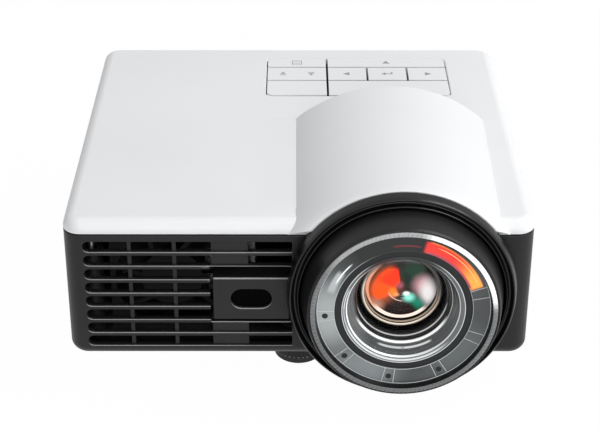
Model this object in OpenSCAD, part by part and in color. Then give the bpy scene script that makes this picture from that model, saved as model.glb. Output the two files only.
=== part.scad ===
// Compact short-throw LED projector, as an assembly of separate pieces.
// The part stands on the plane z = 0, faces -Y, and is centred on x = 0 and on its depth.
// Inside seat(), x is measured from the middle of the body, y from its front face towards
// the rear, and z from its underside.

/* [Housing] */
// Width of the body
body_w = 112; // [108:1:122]
// Depth of the body, front face to rear face
body_d = 105; // [103:1:116]
// Height of the flat top above the underside
top_h = 37.7; // [36.5:0.1:42]
// Height of the pale band of the top cover
cover_h = 3.8; // [3.4:0.1:5]
// Wall of the covers
shell_t = 1.8; // [1.5:0.1:2.2]
// Radius of the upright corners
corner_r = 4.5; // [3.6:0.1:7]
// Radius of the top and bottom edges
edge_r = 3; // [2.2:0.1:3.4]
// How far the front panel wraps round the sides
front_return = 8; // [7:0.5:10]
// Groove between the top cover and the dark case
seam = 0.25; // [0.1:0.05:0.4]
// Height of the underside above the table
lift = 9.5; // [8.8:0.1:12]

/* [Hump over the lens] */
// How far the hump's lip stands ahead of the front face
lip_reach = 3; // [2:0.1:4]
// Radius of the hump at its lip
lip_r = 27.4; // [27.2:0.1:28.5]
// Where the front roll of the hump ends, behind the front face
shoulder_y = 7; // [5:0.5:10]
// Radius of the hump behind its front roll
shoulder_r = 31.8; // [31:0.1:33]
// Centre height of the hump's arc behind its front roll
shoulder_z = 16; // [15:0.1:17]
// Radius of the hump at its rear end
tail_r = 35; // [33.5:0.1:36]
// Centre height of the hump's arc at its rear end
tail_z = 12.5; // [12:0.1:14]
// Room between the hump's rear slope and the key opening
tail_gap = 8.4; // [6:0.1:12]
// Radius of the hump's rear edge
tail_round = 2.5; // [1.5:0.1:4]
// Length of the slope behind the hump
tail_slope = 5; // [2:0.5:6]
// Share that the hump's left flank is wider, behind its front roll
left_wide = 0.1; // [0:0.01:0.12]
// Share that it is wider at the rear end
tail_wide = 0.055; // [0:0.005:0.1]
// Width of the soft rise of the flat top beside the left flank
fairing_w = 14; // [10:0.5:17]
// Height of the soft rise at the flank
fairing_rise = 0.9; // [0.4:0.1:1.4]

/* [Front grille] */
// Number of slot rows
grille_rows = 8; // [6:1:8]
// Height of a bar between two slots
bar_h = 1; // [0.8:0.05:1.3]
// Frame below the lowest slot
grille_sill = 3.1; // [2.6:0.1:3.6]
// Frame above the highest slot
grille_head = 1.8; // [1.5:0.1:2.6]
// Distance of the slots from the left side of the body
grille_inset = 4.8; // [4:0.1:7]
// Distance of the long slots from the lens axis
grille_gap = 45.3; // [45:0.1:46.5]
// Width of the closed column beside them
web_w = 8.7; // [7:0.1:10]
// Distance of the short slots from the lens axis
short_gap = 26.1; // [25.9:0.1:27.5]
// Upright ribs behind the bars, as shares of the long slots' width
rib_at = [0.36, 0.71];
// Width of an upright rib
rib_w = 1; // [0.8:0.1:1.4]
// How far the ribs and the closed column stand back from the bars
rib_back = 0.6; // [0.4:0.1:0.9]

/* [Focus sensor] */
// Width of the sensor block
sensor_w = 18.4; // [16:0.1:18.6]
// Height of the sensor block
sensor_h = 11.65; // [11:0.05:12]
// Depth of the sensor block
sensor_d = 5.5; // [4.5:0.1:6]
// Gap round the sensor block
sensor_gap = 0.6; // [0.4:0.05:0.7]
// Width of the oval window
window_w = 9.8; // [8:0.1:11]
// Height of the oval window
window_h = 5.3; // [4:0.1:6.5]

/* [Lens] */
// Distance of the lens axis from the right side of the body
lens_inset = 31.5; // [30:0.1:32]
// Height of the lens axis above the underside
lens_z = 19.9; // [19.4:0.1:20.4]
// Outer radius of the trim ring
collar_r = 27; // [26.8:0.05:27.1]
// How far the trim ring stands ahead of the front face
collar_reach = 6; // [5:0.1:7]
// Outer radius of the lens barrel
barrel_r = 24.2; // [23.8:0.1:24.5]
// Radius of the lens barrel at its front
barrel_front_r = 22.4; // [22.2:0.1:23]
// How far the front rim stands ahead of the front face
lens_reach = 13; // [11.5:0.1:14.5]
// Outer radius of the bright rim
rim_r = 21.9; // [21.6:0.05:22]
// Width of the bright rim
rim_w = 1.1; // [0.8:0.1:1.4]
// Outer radius of the front lens
front_lens_r = 19.4; // [18.6:0.1:19.8]
// Inner radius of the front lens's flat flange
flange_in_r = 14.7; // [14.2:0.1:15.2]
// Thickness of the front lens's flange
flange_t = 2; // [1.6:0.1:2.4]
// Radius of the inner lens
inner_lens_r = 8.7; // [8:0.1:9]
// Inner radius of the lens tube
tube_bore_r = 10.5; // [10.2:0.1:10.8]
// Outer radius of the lens tube
tube_r = 13; // [12.5:0.1:13.2]
// Rear end of the lens tube, behind the front face
tube_end = 31; // [30:0.5:32]

/* [Focus drive] */
// Tooth module of the focus gears
gear_module = 0.5; // [0.48:0.01:0.5]
// Teeth on the ring gear
ring_teeth = 60; // [60:1:61]
// Teeth on the pinion
pinion_teeth = 12; // [12:1:14]
// Width of the gears
gear_w = 4; // [3:0.1:4.4]
// Front face of the ring gear, behind the front face of the body
gear_y = 7.2; // [7:0.1:7.8]
// Travel of the focus cell
focus_travel = 1.5; // [1:0.1:2.5]
// Radius of the focus motor
motor_r = 5; // [4:0.1:6]
// Length of the focus motor
motor_l = 12; // [9:0.5:14]

/* [Keypad] */
// Distance of the key opening's left side from the lens axis
keys_offset = 33.4; // [32:0.1:34.5]
// Width of the left group of keys
left_group_w = 17; // [16:0.1:18]
// Width of the right group of keys
right_group_w = 33.7; // [32:0.1:34.4]
// Distance of the key opening from the rear face
keys_inset = 8.3; // [7:0.1:9]
// Depths of the key rows, front to back
key_rows = [10.1, 9.1, 6.6];
// Corner radius of the key opening
keys_corner = 2; // [1:0.1:3]
// Gap round each key
key_gap = 0.3; // [0.2:0.05:0.45]
// Thickness of a key cap
key_t = 2; // [1.6:0.1:2.4]
// Travel of a key
key_travel = 0.5; // [0.3:0.05:0.6]
// Width of the lip that keeps a key under the cover
key_lip = 1; // [0.7:0.1:1.3]
// Tilt of the rocker each way, in degrees
rocker_tilt = 2; // [1:0.1:2.5]

/* [Feet and underside] */
// Radius of the tilt foot's disc
foot_r = 6.6; // [6:0.1:7.5]
// Height of the tilt foot's disc
foot_disc_h = 3.5; // [3:0.1:4]
// Distance of the tilt foot behind the front face
foot_y = 16.5; // [15:0.5:18]
// Radius of the tilt foot's screw
foot_screw_r = 3; // [2.5:0.1:3.2]
// Travel of the tilt foot
foot_travel = 5; // [3:0.5:6]
// Thickness of the rubber soles
sole_t = 1.5; // [1.2:0.1:2]
// Spacing of the rear feet
rear_foot_pitch = 84; // [74:1:88]
// Distance of the rear feet ahead of the rear face
rear_foot_inset = 12; // [10:0.5:16]
// Radius of a rear foot at its sole
rear_foot_r = 5; // [4.5:0.1:6]
// Radius of the tripod socket
tripod_r = 3.175; // [3.1:0.005:3.2]
// Depth of the tripod socket
tripod_depth = 7; // [6:0.1:8]
// Distance of the tripod socket from the main board
tripod_ahead = 8; // [8:0.5:12]
// Distance of the tripod socket from the optical engine
tripod_aside = 12; // [11.5:0.5:15]

/* [Cooling and light] */
// Side of the square fan
fan_size = 30; // [28:0.5:30]
// Depth of the fan
fan_d = 10; // [8:0.5:10.5]
// Distance of the fan's middle from the left side of the body
fan_inset = 25; // [23:0.5:26]
// Number of fan blades
fan_blades = 7; // [5:1:9]
// Width of the heat sink
sink_w = 36; // [30:1:38]
// Number of heat sink fins
sink_fins = 12; // [8:1:14]
// Radius of the heat pipes
pipe_r = 2; // [1.5:0.1:2.5]
// Room between the optical engine's housing and the right side of the body
engine_side = 10; // [10:0.5:13]
// Room between the optical engine's housing and the key tray
engine_rear = 2.4; // [2:0.1:5]
// Room between the optical engine's housing and the top cover
engine_head = 2.5; // [2:0.5:4]
// Height of a light module's plate
led_h = 16.5; // [12:0.5:18]
// Thickness of a light module's plate
led_plate_t = 2; // [1:0.1:2]
// Thickness of the speaker's box
speaker_t = 6.3; // [5:0.1:6.4]
// Length of the speaker's box
speaker_l = 24; // [20:1:26]
// Height of the speaker's box
speaker_h = 20; // [16:1:22]

/* [Board and sockets] */
// Thickness of the main board
board_t = 1.6; // [1.2:0.1:1.8]
// Height of the main board's underside
board_z = 5; // [4:0.1:6]
// Room of the main board and the sockets, from the rear face
board_room = 45; // [44:1:46]
// Middle of each rear socket, as a share of the rear panel's half width
socket_at = [-0.888, -0.562, -0.11, 0.321, 0.653, 0.916];
// Width of each rear socket: power, video, display, data, card, sound
socket_w = [9, 15, 21, 13.2, 12.4, 6.5];
// Height of each rear socket
socket_h = [11, 5.6, 6, 5.8, 1.9, 5];
// Radius of the sound socket's bore
sound_r = 1.8; // [1.76:0.01:1.85]
// Radius of the power socket's bore
power_r = 2.9; // [2.75:0.05:3.1]

/* [Fits] */
// Radial clearance of shafts, screws and slides
run_fit = 0.05; // [0.03:0.01:0.08]
// Clearance between pieces that are set side by side
set_gap = 0.15; // [0.1:0.01:0.25]

/* [Hidden] */

// Roundness of turned pieces, of small round pieces and of hull corners
turn_fn = 96;
small_fn = 40;
hull_fn = 32;
eps = 0.01;

// Levels of the housing
parting_h = top_h - cover_h;
cover_under = top_h - shell_t;
inner_w = body_w - 2 * shell_t;
depth = body_d + lens_reach;

// Places that follow the sides of the body
lens_x = body_w / 2 - lens_inset;
keys_left = lens_x - keys_offset;
keys_mid = keys_left + left_group_w;
keys_right = keys_mid + right_group_w;
keys_back = body_d - keys_inset;
keys_front = keys_back - key_rows[0] - key_rows[1] - key_rows[2];
tail_y = keys_front - tail_gap - tail_slope;
grille_left = grille_inset - body_w / 2;
grille_right = lens_x - grille_gap;
short_right = lens_x - short_gap;
rib_x = [for (share = rib_at) grille_left + share * (grille_right - grille_left)];
row_pitch = (parting_h - grille_sill - grille_head + bar_h) / grille_rows;
slot_h = row_pitch - bar_h;

// Colours
pale = [0.9, 0.91, 0.92];
charcoal = [0.2, 0.2, 0.21];
satin_black = [0.08, 0.08, 0.09];
rim_grey = [0.6, 0.6, 0.62];
clear = [0.7, 0.78, 0.82, 0.5];
board_green = [0.1, 0.3, 0.18];
steel = [0.72, 0.72, 0.74];
brass = [0.78, 0.62, 0.3];

// ---- Shared geometry ----

// Moves the housing's own frame to its place over the table.
module seat() {
    translate([0, lens_reach - depth / 2, lift])
        children();
}

// Puts a piece whose axis is Z on the lens axis, with +Z turned to the rear.
module on_lens_axis() {
    translate([lens_x, 0, lens_z])
        rotate([-90, 0, 0])
            children();
}

// Points of an arc about (cx, cy).
function arc(cx, cy, r, from, to, steps) =
    [for (i = [0:steps]) let (a = from + (to - from) * i / steps) [cx + r * cos(a), cy + r * sin(a)]];

// A piece turned about the lens axis from [radius, y] points.
module turned(profile) {
    on_lens_axis()
        rotate_extrude($fn = turn_fn)
            polygon(profile);
}

// A ring about the lens axis.
module lens_ring(outer, inner, from, to) {
    turned([[inner, from], [outer, from], [outer, to], [inner, to]]);
}

// A box between two corners.
module span(low, high) {
    translate(low)
        cube(high - low);
}

// One upright corner with a rounded foot.
module corner_post(r, edge, h) {
    rotate_extrude($fn = hull_fn)
        polygon(concat([[0, 0]], arc(r - edge, edge, edge, -90, 0, 5), [[r, h], [0, h]]));
}

// The dark case's outer form, shrunk by inset, with its bottom edges rounded.
module case_form(inset, top) {
    r = max(corner_r - inset, 1);
    edge = max(edge_r - inset, 0.8);
    hull()
        for (x = [inset + r - body_w / 2, body_w / 2 - inset - r], y = [inset + r, body_d - inset - r])
            translate([x, y, inset])
                corner_post(r, edge, top - inset);
}

// The top cover's outer form without its hump, shrunk by inset.
module cover_form(inset, base) {
    r = max(corner_r - inset, 1);
    edge = max(edge_r - inset, 0.8);
    hull()
        for (x = [inset + r - body_w / 2, body_w / 2 - inset - r], y = [inset + r, body_d - inset - r])
            translate([x, y, top_h - inset])
                mirror([0, 0, 1])
                    corner_post(r, edge, top_h - inset - base);
}

// ---- Housing ----

// Share of the front roll that is passed at a depth y.
function roll(y) = y >= shoulder_y ? 1 : sin(acos((shoulder_y - y) / (shoulder_y + lip_reach)));
// Share of the straight run behind it.
function run(y) = max(0, (y - shoulder_y) / (tail_y - shoulder_y));
function hump_r(y) = lip_r + (shoulder_r - lip_r) * roll(y) + (tail_r - shoulder_r) * run(y);
function hump_z(y) = lens_z + (shoulder_z - lens_z) * roll(y) + (tail_z - shoulder_z) * run(y);
// Width of the left flank over that of a true arc.
function left_share(y) = 1 + left_wide * roll(y) + (tail_wide - left_wide) * run(y);

// Section of the hump at a depth y, above the level base.
function hump_section(y, inset, base, drop = 0) =
    let (
        r = hump_r(y) - inset,
        z = hump_z(y) - drop,
        low = asin((base - z) / r)
    )
    [for (p = arc(0, 0, r, low, 180 - low, 24)) [lens_x + p.x * (p.x < 0 ? left_share(y) : 1), y, z + p.y]];

// A closed body through a list of sections, each with as many points as the next.
module loft(sections) {
    n = len(sections[0]);
    last = len(sections) - 1;
    polyhedron(
        points = [for (section = sections) each section],
        faces = concat(
            [[for (i = [n - 1:-1:0]) i]],
            [[for (i = [0:n - 1]) last * n + i]],
            [for (s = [0:last - 1], i = [0:n - 1])
                let (j = (i + 1) % n) [s * n + i, s * n + j, s * n + n + j]],
            [for (s = [0:last - 1], i = [0:n - 1])
                let (j = (i + 1) % n) [s * n + i, s * n + n + j, s * n + n + i]]
        )
    );
}

// The hump's form: a front roll, a straight run, a rounded rear edge and a slope.
module hump_form() {
    roll_steps = 6;
    edge_steps = 3;
    base = parting_h + seam;
    front = [for (i = [0:roll_steps]) shoulder_y - (shoulder_y + lip_reach) * cos(90 * i / roll_steps)];
    full_drop = hump_r(tail_y) + hump_z(tail_y) - top_h;
    loft(concat(
        [for (y = front) hump_section(y, 0, base)],
        [for (i = [0:edge_steps]) let (a = 60 * i / edge_steps)
            hump_section(tail_y - tail_round * (1 - sin(a)), 0, base, tail_round * (1 - cos(a)))],
        [hump_section(tail_y + tail_slope, 0, base, full_drop)]
    ));
}

// The flat top's soft rise towards the hump's left flank, cut off aslant at both ends.
module fairing() {
    sink = 0.05;
    root = 1;
    fade = 4;
    steps = 6;
    front = edge_r;
    tail_rise = asin((top_h - hump_z(tail_y)) / hump_r(tail_y));
    left = lens_x - hump_r(tail_y) * cos(tail_rise) - fairing_w;
    right = left + fairing_w + 4;
    difference() {
        translate([0, tail_y, top_h])
            rotate([90, 0, 0])
                linear_extrude(height = tail_y - front)
                    polygon(concat(
                        [[left, -root], [right, -root]],
                        [for (i = [steps:-1:0]) let (share = i / steps)
                            [left + share * (right - left), fairing_rise * share * share - sink]]
                    ));
        for (end = [[front, 1], [tail_y, -1]])
            translate([left - 1, end[0], top_h - sink - 0.01])
                mirror([0, end[1] < 0 ? 1 : 0, 0])
                    rotate([atan(fairing_rise / fade), 0, 0])
                        translate([0, -fade, 0])
                            cube([right - left + 2, 3 * fade, 3]);
    }
}

// The hollow under the hump.
module hump_hollow() {
    under = parting_h - 1;
    depths = [shell_t, (shell_t + shoulder_y) / 2, shoulder_y, tail_y - shell_t];
    loft([for (y = depths) hump_section(y, shell_t, under)]);
}

// The opening that the keys stand in.
module key_opening(from, to) {
    r = keys_corner;
    translate([0, 0, from])
        linear_extrude(height = to - from)
            hull()
                for (x = [keys_left + r, keys_right - r], y = [keys_front + r, keys_back - r])
                    translate([x, y])
                        circle(r = r, $fn = hull_fn);
}

screw_side = body_w / 2 - 5.2;
screw_rear = body_d - 22;
screw_spots = [[-screw_side, 12], [screw_side, 10.4], [-screw_side, screw_rear], [screw_side, screw_rear]];
screw_r = 1;
boss_r = 2.8;
boss_top = 24;
// How deep the screws reach into the cover's bosses, from its underside
screw_stop = 2;

module top_cover() {
    color(pale)
        seat()
            difference() {
                union() {
                    difference() {
                        union() {
                            cover_form(0, parting_h + seam);
                            hump_form();
                            fairing();
                        }
                        cover_form(shell_t, 0);
                        hump_hollow();
                        lens_ring(collar_r + set_gap, 0, -lip_reach - 1, eps);
                        lens_ring(collar_seat_r + set_gap, 0, -lip_reach, shell_t + eps);
                    }
                    for (spot = screw_spots)
                        translate([spot.x, spot.y, boss_top + seam])
                            cylinder(r = boss_r, h = cover_under - boss_top, $fn = hull_fn);
                }
                key_opening(parting_h, top_h + 1);
                for (spot = screw_spots)
                    translate([spot.x, spot.y, 0])
                        cylinder(r = screw_r + run_fit, h = cover_under - screw_stop, $fn = hull_fn);
            }
}

belly_r = collar_r - 0.3;
belly_flat = 14;
belly_end = 27;
// Radius that keeps the belly's hollow clear of the barrel
belly_hollow_r = barrel_r + 0.5;

// The swelling under the lens, as a turned form that is shrunk by inset.
module belly_form(inset, from) {
    foot = lens_z - 1.5;
    turned(concat(
        [[0, from], [belly_r - inset, from], [belly_r - inset, belly_flat]],
        [for (a = [15:15:75]) [
            foot + (belly_r - foot) * cos(a) - inset,
            belly_flat + (belly_end - belly_flat - inset) * sin(a)
        ]],
        [[foot - inset, belly_end - inset], [0, belly_end - inset]]
    ));
}

// Side vents: the side, and both ends as shares of the body's depth
vents = [[-1, 0.21, 0.438], [1, 0.171, 0.419], [1, 0.495, 0.743]];
vent_rows = 5;
vent_base = 9;

// Level slots in the side walls.
module side_vents() {
    for (vent = vents, row = [0:vent_rows - 1]) {
        x = vent[0] * body_w / 2;
        z = vent_base + row * row_pitch;
        span([x - shell_t, vent[1] * body_d, z], [x + shell_t, vent[2] * body_d, z + slot_h]);
    }
}

rear_lip = 1.5;
rear_x = body_w / 2 - corner_r - rear_lip - 0.2;
rear_low = 4.2;
rear_high = parting_h - 4.9;
socket_x = [for (share = socket_at) share * rear_x];
lock_at = 0.884;
lock_w = 7;
lock_h = 3;

module rear_pedestal() {
    cylinder(r1 = rear_foot_r + 1.5, r2 = rear_foot_r + 0.4, h = lift - sole_t, $fn = turn_fn);
}

module bottom_case() {
    color(charcoal)
        seat()
            difference() {
                union() {
                    difference() {
                        union() {
                            case_form(0, parting_h);
                            intersection() {
                                belly_form(0, 0);
                                span([-body_w, 0, -body_w], [body_w, body_d, shell_t]);
                            }
                        }
                        case_form(shell_t, parting_h + 1);
                        belly_hollow();
                    }
                    // Screw bosses, board posts, tripod boss, foot boss and fan rails
                    for (spot = screw_spots)
                        translate([spot.x, spot.y, shell_t - eps])
                            cylinder(r = boss_r, h = boss_top - shell_t, $fn = small_fn);
                    for (spot = board_posts)
                        translate([spot.x, spot.y, shell_t - eps])
                            cylinder(r = 2.4, h = board_z - shell_t, $fn = small_fn);
                    translate([tripod_x, tripod_y, shell_t - eps])
                        cylinder(r = insert_r + 2, h = insert_h - shell_t + 1, $fn = small_fn);
                    translate([0, foot_y, -foot_boss_drop])
                        cylinder(r = bush_r + 2, h = bush_top + foot_boss_drop - 1, $fn = small_fn);
                    for (y = [fan_y - 1.5, fan_y + fan_d + 0.3])
                        span([fan_x - fan_size / 2, y, shell_t - eps], [fan_x + fan_size / 2, y + 1.2, 6]);
                    for (side = [-1, 1])
                        translate([side * rear_foot_pitch / 2, body_d - rear_foot_inset, eps])
                            mirror([0, 0, 1])
                                rear_pedestal();
                }
                // Room for the front panel and the rear panel
                span([-body_w, -body_d, -body_w], [body_w, front_return + seam / 2, body_w]);
                span([-rear_x, body_d - shell_t - 1, rear_low], [rear_x, body_d + 1, rear_high]);
                translate([0, foot_y, -lift])
                    cylinder(r = bush_r + run_fit, h = lift + bush_top + 1, $fn = small_fn);
                translate([tripod_x, tripod_y, -1])
                    cylinder(r = insert_r + run_fit, h = insert_h + 1, $fn = small_fn);
                for (spot = screw_spots)
                    translate([spot.x, spot.y, -1]) {
                        cylinder(r = screw_r + 0.3, h = boss_top + 2, $fn = small_fn);
                        cylinder(r = screw_head_r + set_gap, h = 1 + screw_sink, $fn = small_fn);
                    }
                side_vents();
            }
}

// The hollow of the belly, kept below the wall of the case.
module belly_hollow() {
    intersection() {
        turned([
            [0, 0],
            [belly_hollow_r, 0],
            [belly_hollow_r, belly_flat - shell_t],
            [lens_z - shell_t, belly_end - 2 * shell_t],
            [0, belly_end - 2 * shell_t],
        ]);
        span([-body_w, 0, -body_w], [body_w, body_d, shell_t + 1]);
    }
}

collar_seat_r = collar_r - 1.4;

module front_panel() {
    color(charcoal)
        seat()
            difference() {
                union() {
                    difference() {
                        union() {
                            case_form(0, parting_h);
                            intersection() {
                                belly_form(0, 0);
                                span([-body_w, 0, -body_w], [body_w, body_d, shell_t]);
                            }
                        }
                        case_form(shell_t, parting_h + 1);
                        intersection() {
                            lens_ring(belly_hollow_r, 0, shell_t, front_return + 1);
                            span([-body_w, 0, -body_w], [body_w, body_d, shell_t + 1]);
                        }
                        lens_ring(collar_seat_r + set_gap, 0, -1, shell_t + 1);
                        grille_slots();
                        sensor_opening();
                    }
                    grille_ribs();
                }
                span([-body_w, front_return, -body_w], [body_w, 2 * body_d, body_w]);
            }
}

// Height of the foot of a slot row, counted from below.
function row_z(row) = grille_sill + row * row_pitch;

// One slot with a rounded left end.
module slot(left, right, row) {
    r = slot_h / 2;
    translate([left, -1, row_z(row)])
        rotate([90, 0, 0])
            mirror([0, 0, 1])
                linear_extrude(height = shell_t + 2)
                    union() {
                        translate([0.8 * r, 0])
                            square([right - left - 0.8 * r, slot_h]);
                        translate([r, r])
                            circle(r = r, $fn = small_fn);
                    }
}

// Rows that the sensor block takes up in the column beside the lens.
sensor_rows = [2, 3, 4, 5];

module grille_slots() {
    for (row = [0:grille_rows - 1])
        slot(grille_left, grille_right, row);
    for (row = [0:grille_rows - 1])
        if (len(search(row, sensor_rows)) == 0) {
            span([grille_right + web_w, -1, row_z(row)], [short_right, shell_t + 1, row_z(row) + slot_h]);
            // The closed column stands back between the bars
            span([grille_right - 0.5, -1, row_z(row)], [grille_right + web_w + 0.5, rib_back, row_z(row) + slot_h]);
        }
}

// Ribs that stand behind the bars.
module grille_ribs() {
    top = row_z(grille_rows - 1) + slot_h + 0.5;
    for (x = rib_x)
        span([x - rib_w / 2, rib_back, grille_sill - 0.5], [x + rib_w / 2, shell_t, top]);
}

sensor_left = grille_right + 0.2;
sensor_z = row_z(2);

// The opening that the sensor block stands in, with room above its top face.
module sensor_opening() {
    span(
        [sensor_left - sensor_gap, -1, sensor_z - sensor_gap],
        [sensor_left + sensor_w + 0.2, shell_t + 1, sensor_z + sensor_h + row_pitch - 0.6]
    );
}

module rear_panel() {
    front = body_d - shell_t;
    color(charcoal)
        seat()
            difference() {
                union() {
                    span(
                        [-rear_x + set_gap, front - eps, rear_low + set_gap],
                        [rear_x - set_gap, body_d - 0.3, rear_high - set_gap]
                    );
                    span(
                        [-rear_x - rear_lip, front - 1.2, rear_low - 0.6],
                        [rear_x + rear_lip, front, rear_high + rear_lip]
                    );
                }
                for (i = [0:len(socket_x) - 1])
                    span(
                        [socket_x[i] - socket_w[i] / 2 - set_gap, front - 3, socket_base - set_gap],
                        [socket_x[i] + socket_w[i] / 2 + set_gap, body_d + 1, socket_base + socket_h[i] + set_gap]
                    );
                // Slot for a security lock
                span(
                    [lock_at * rear_x - lock_w / 2, front - 3, rear_high - 2 * lock_h - 1],
                    [lock_at * rear_x + lock_w / 2, body_d + 1, rear_high - lock_h - 1]
                );
            }
}

screw_head_r = 1.9;
screw_sink = 1.2;

module case_screws() {
    color(steel)
        seat()
            for (spot = screw_spots)
                translate([spot.x, spot.y, 0.2]) {
                    cylinder(r = screw_head_r, h = screw_sink - 0.2, $fn = small_fn);
                    translate([0, 0, screw_sink - 0.2 - eps])
                        cylinder(r = screw_r, h = cover_under - screw_stop - 4, $fn = small_fn);
                }
}

// ---- Focus sensor ----

window_x = sensor_left + sensor_w / 2;
window_z = sensor_z + sensor_h / 2;

// A level oval, extruded to the rear.
module oval(w, h, from, to) {
    translate([window_x, from, window_z])
        rotate([90, 0, 0])
            mirror([0, 0, 1])
                linear_extrude(height = to - from)
                    union() {
                        square([w - h, h], center = true);
                        for (side = [-1, 1])
                            translate([side * (w - h) / 2, 0])
                                circle(d = h, $fn = small_fn);
                    }
}

module sensor_block() {
    color(charcoal)
        seat()
            difference() {
                span([sensor_left, 0, sensor_z], [sensor_left + sensor_w, sensor_d, sensor_z + sensor_h]);
                oval(window_w, window_h, -1, 2);
                oval(window_w - 1, window_h - 1, 0, sensor_d + 1);
            }
}

module sensor_window() {
    color(satin_black)
        seat()
            oval(window_w - 0.1, window_h - 0.1, 1.2, 2);
}

module sensor_board() {
    color(board_green)
        seat() {
            span(
                [sensor_left, sensor_d, sensor_z],
                [sensor_left + sensor_w, sensor_d + 1, sensor_z + sensor_h]
            );
            for (side = [-1, 1])
                translate([window_x + side * 2.2, sensor_d + eps, window_z])
                    rotate([90, 0, 0])
                        cylinder(d = 3, h = 2.5, $fn = small_fn);
        }
}

// ---- Lens ----

module lens_collar() {
    color(satin_black)
        seat()
            turned([
                [collar_seat_r, shell_t],
                [collar_seat_r, 0],
                [collar_r, 0],
                [collar_r, -lip_reach - 0.1],
                [lip_r, -lip_reach - 0.4],
                [lip_r - 0.4, 1 - collar_reach],
                [collar_r - 0.4, 0.3 - collar_reach],
                [collar_r - 0.8, 0.3 - collar_reach],
                [collar_r - 1.2, 1.2 - collar_reach],
                [collar_r - 1.7, 1.2 - collar_reach],
                [collar_r - 2.1, -collar_reach],
                [collar_r - 2.4, -collar_reach],
                [barrel_r + set_gap, 0.6 - collar_reach],
                [barrel_r + set_gap, shell_t],
            ]);
}

barrel_end = 6;
rim_seat_y = 1.6 - lens_reach;
lens_front_y = 1.9 - lens_reach;
lens_back_y = lens_front_y + flange_t;
tube_front = -3;

module lens_barrel() {
    color(satin_black)
        seat()
            turned([
                [barrel_r, barrel_end],
                [barrel_r, 1.4 - collar_reach],
                [barrel_front_r + 0.3, 1 - lens_reach],
                [barrel_front_r, 0.4 - lens_reach],
                [rim_r + run_fit, 0.4 - lens_reach],
                [rim_r + run_fit, rim_seat_y],
                [front_lens_r + run_fit, rim_seat_y + 0.1],
                [front_lens_r + run_fit, lens_back_y],
                [front_lens_r - 1, lens_back_y],
                [front_lens_r - 1, tube_front],
                [barrel_r - 2, tube_front],
                [barrel_r - 2, barrel_end],
            ]);
}

module lens_rim() {
    color(rim_grey)
        seat()
            turned([
                [rim_r, rim_seat_y],
                [rim_r, 0.3 - lens_reach],
                [rim_r - 0.3, -lens_reach],
                [rim_r - rim_w + 0.3, -lens_reach],
                [rim_r - rim_w, 0.3 - lens_reach],
                [front_lens_r - 0.3, rim_seat_y],
            ]);
}

// Depth of the front lens's bowl behind its flange
bowl_depth = 3;

module front_lens() {
    edge_in = flange_in_r - 1.4;
    color(clear)
        seat()
            turned(concat(
                [
                    [front_lens_r, lens_back_y],
                    [front_lens_r, lens_front_y],
                    [flange_in_r, lens_front_y],
                    [edge_in, lens_front_y + 0.6],
                ],
                [for (a = [75:-15:0]) [edge_in * sin(a), lens_front_y + 0.6 + (bowl_depth - 0.6) * cos(a)]],
                [for (a = [0:15:75]) [edge_in * sin(a), lens_front_y + 2 + (bowl_depth - 0.6) * cos(a)]],
                [[flange_in_r, lens_back_y]]
            ));
}

module lens_spacer() {
    gap = 0.1;
    color(satin_black)
        seat()
            turned([
                [front_lens_r - 1 - gap, lens_back_y],
                [flange_in_r + 0.1, lens_back_y],
                [flange_in_r + 0.1, lens_back_y + 1],
                [tube_bore_r + 0.2, tube_front - 1],
                [tube_bore_r + 0.2, tube_front],
                [front_lens_r - 1 - gap, tube_front],
            ]);
}

cell_front = -4.4;
cell_l = 11;
// Room behind the focus cell at full travel, and the tube's narrower bore behind its shoulder
cell_room = 5.9;
rear_bore_l = 10;
tube_step_y = cell_front + cell_l + focus_travel + cell_room;
rear_lens_y = tube_step_y + rear_bore_l;
rear_lens_r = tube_bore_r - 1.5;

module lens_tube() {
    color(satin_black)
        seat()
            turned([
                [tube_bore_r, tube_front],
                [barrel_r - 2 - run_fit, tube_front],
                [barrel_r - 2 - run_fit, barrel_end],
                [tube_r, barrel_end],
                [tube_r, tube_end],
                [rear_lens_r + run_fit, tube_end],
                [rear_lens_r + run_fit, rear_lens_y],
                [rear_lens_r - 1, rear_lens_y],
                [rear_lens_r - 1, tube_step_y],
                [tube_bore_r, tube_step_y],
            ]);
}

module focus_cell() {
    color(brass)
        seat()
            turned([
                [inner_lens_r + run_fit, cell_front + 0.3],
                [inner_lens_r + 0.3, cell_front],
                [tube_bore_r - 0.6, cell_front],
                [tube_bore_r - run_fit, cell_front + 0.6],
                [tube_bore_r - run_fit, cell_front + cell_l],
                [inner_lens_r - 1.2, cell_front + cell_l],
                [inner_lens_r - 1.2, cell_front + 4],
                [inner_lens_r + run_fit, cell_front + 4],
            ]);
}

module inner_lens() {
    dome = 1.4;
    color(clear)
        seat()
            turned(concat(
                [for (a = [0:15:90]) [inner_lens_r * sin(a), cell_front + 1 + dome * (1 - cos(a)) - 0.4]],
                [[inner_lens_r, cell_front + 4], [0, cell_front + 4]]
            ));
}

module rear_lens() {
    bulge = 1;
    color(clear)
        seat()
            turned(concat(
                [for (a = [0:15:90]) [(rear_lens_r - 1.1) * sin(a), rear_lens_y - bulge * cos(a)]],
                [[rear_lens_r, rear_lens_y], [rear_lens_r, rear_lens_y + 4], [0, rear_lens_y + 4]]
            ));
}

// ---- Focus drive ----

ring_pitch_r = gear_module * ring_teeth / 2;
pinion_pitch_r = gear_module * pinion_teeth / 2;
pinion_x = -ring_pitch_r - pinion_pitch_r;
bracket_y = gear_y + gear_w + 0.5;
bracket_t = 2;
motor_y = bracket_y + bracket_t;
shaft_r = 0.75;
addendum = 0.9 * gear_module;
dedendum = 1.2 * gear_module;

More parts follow.
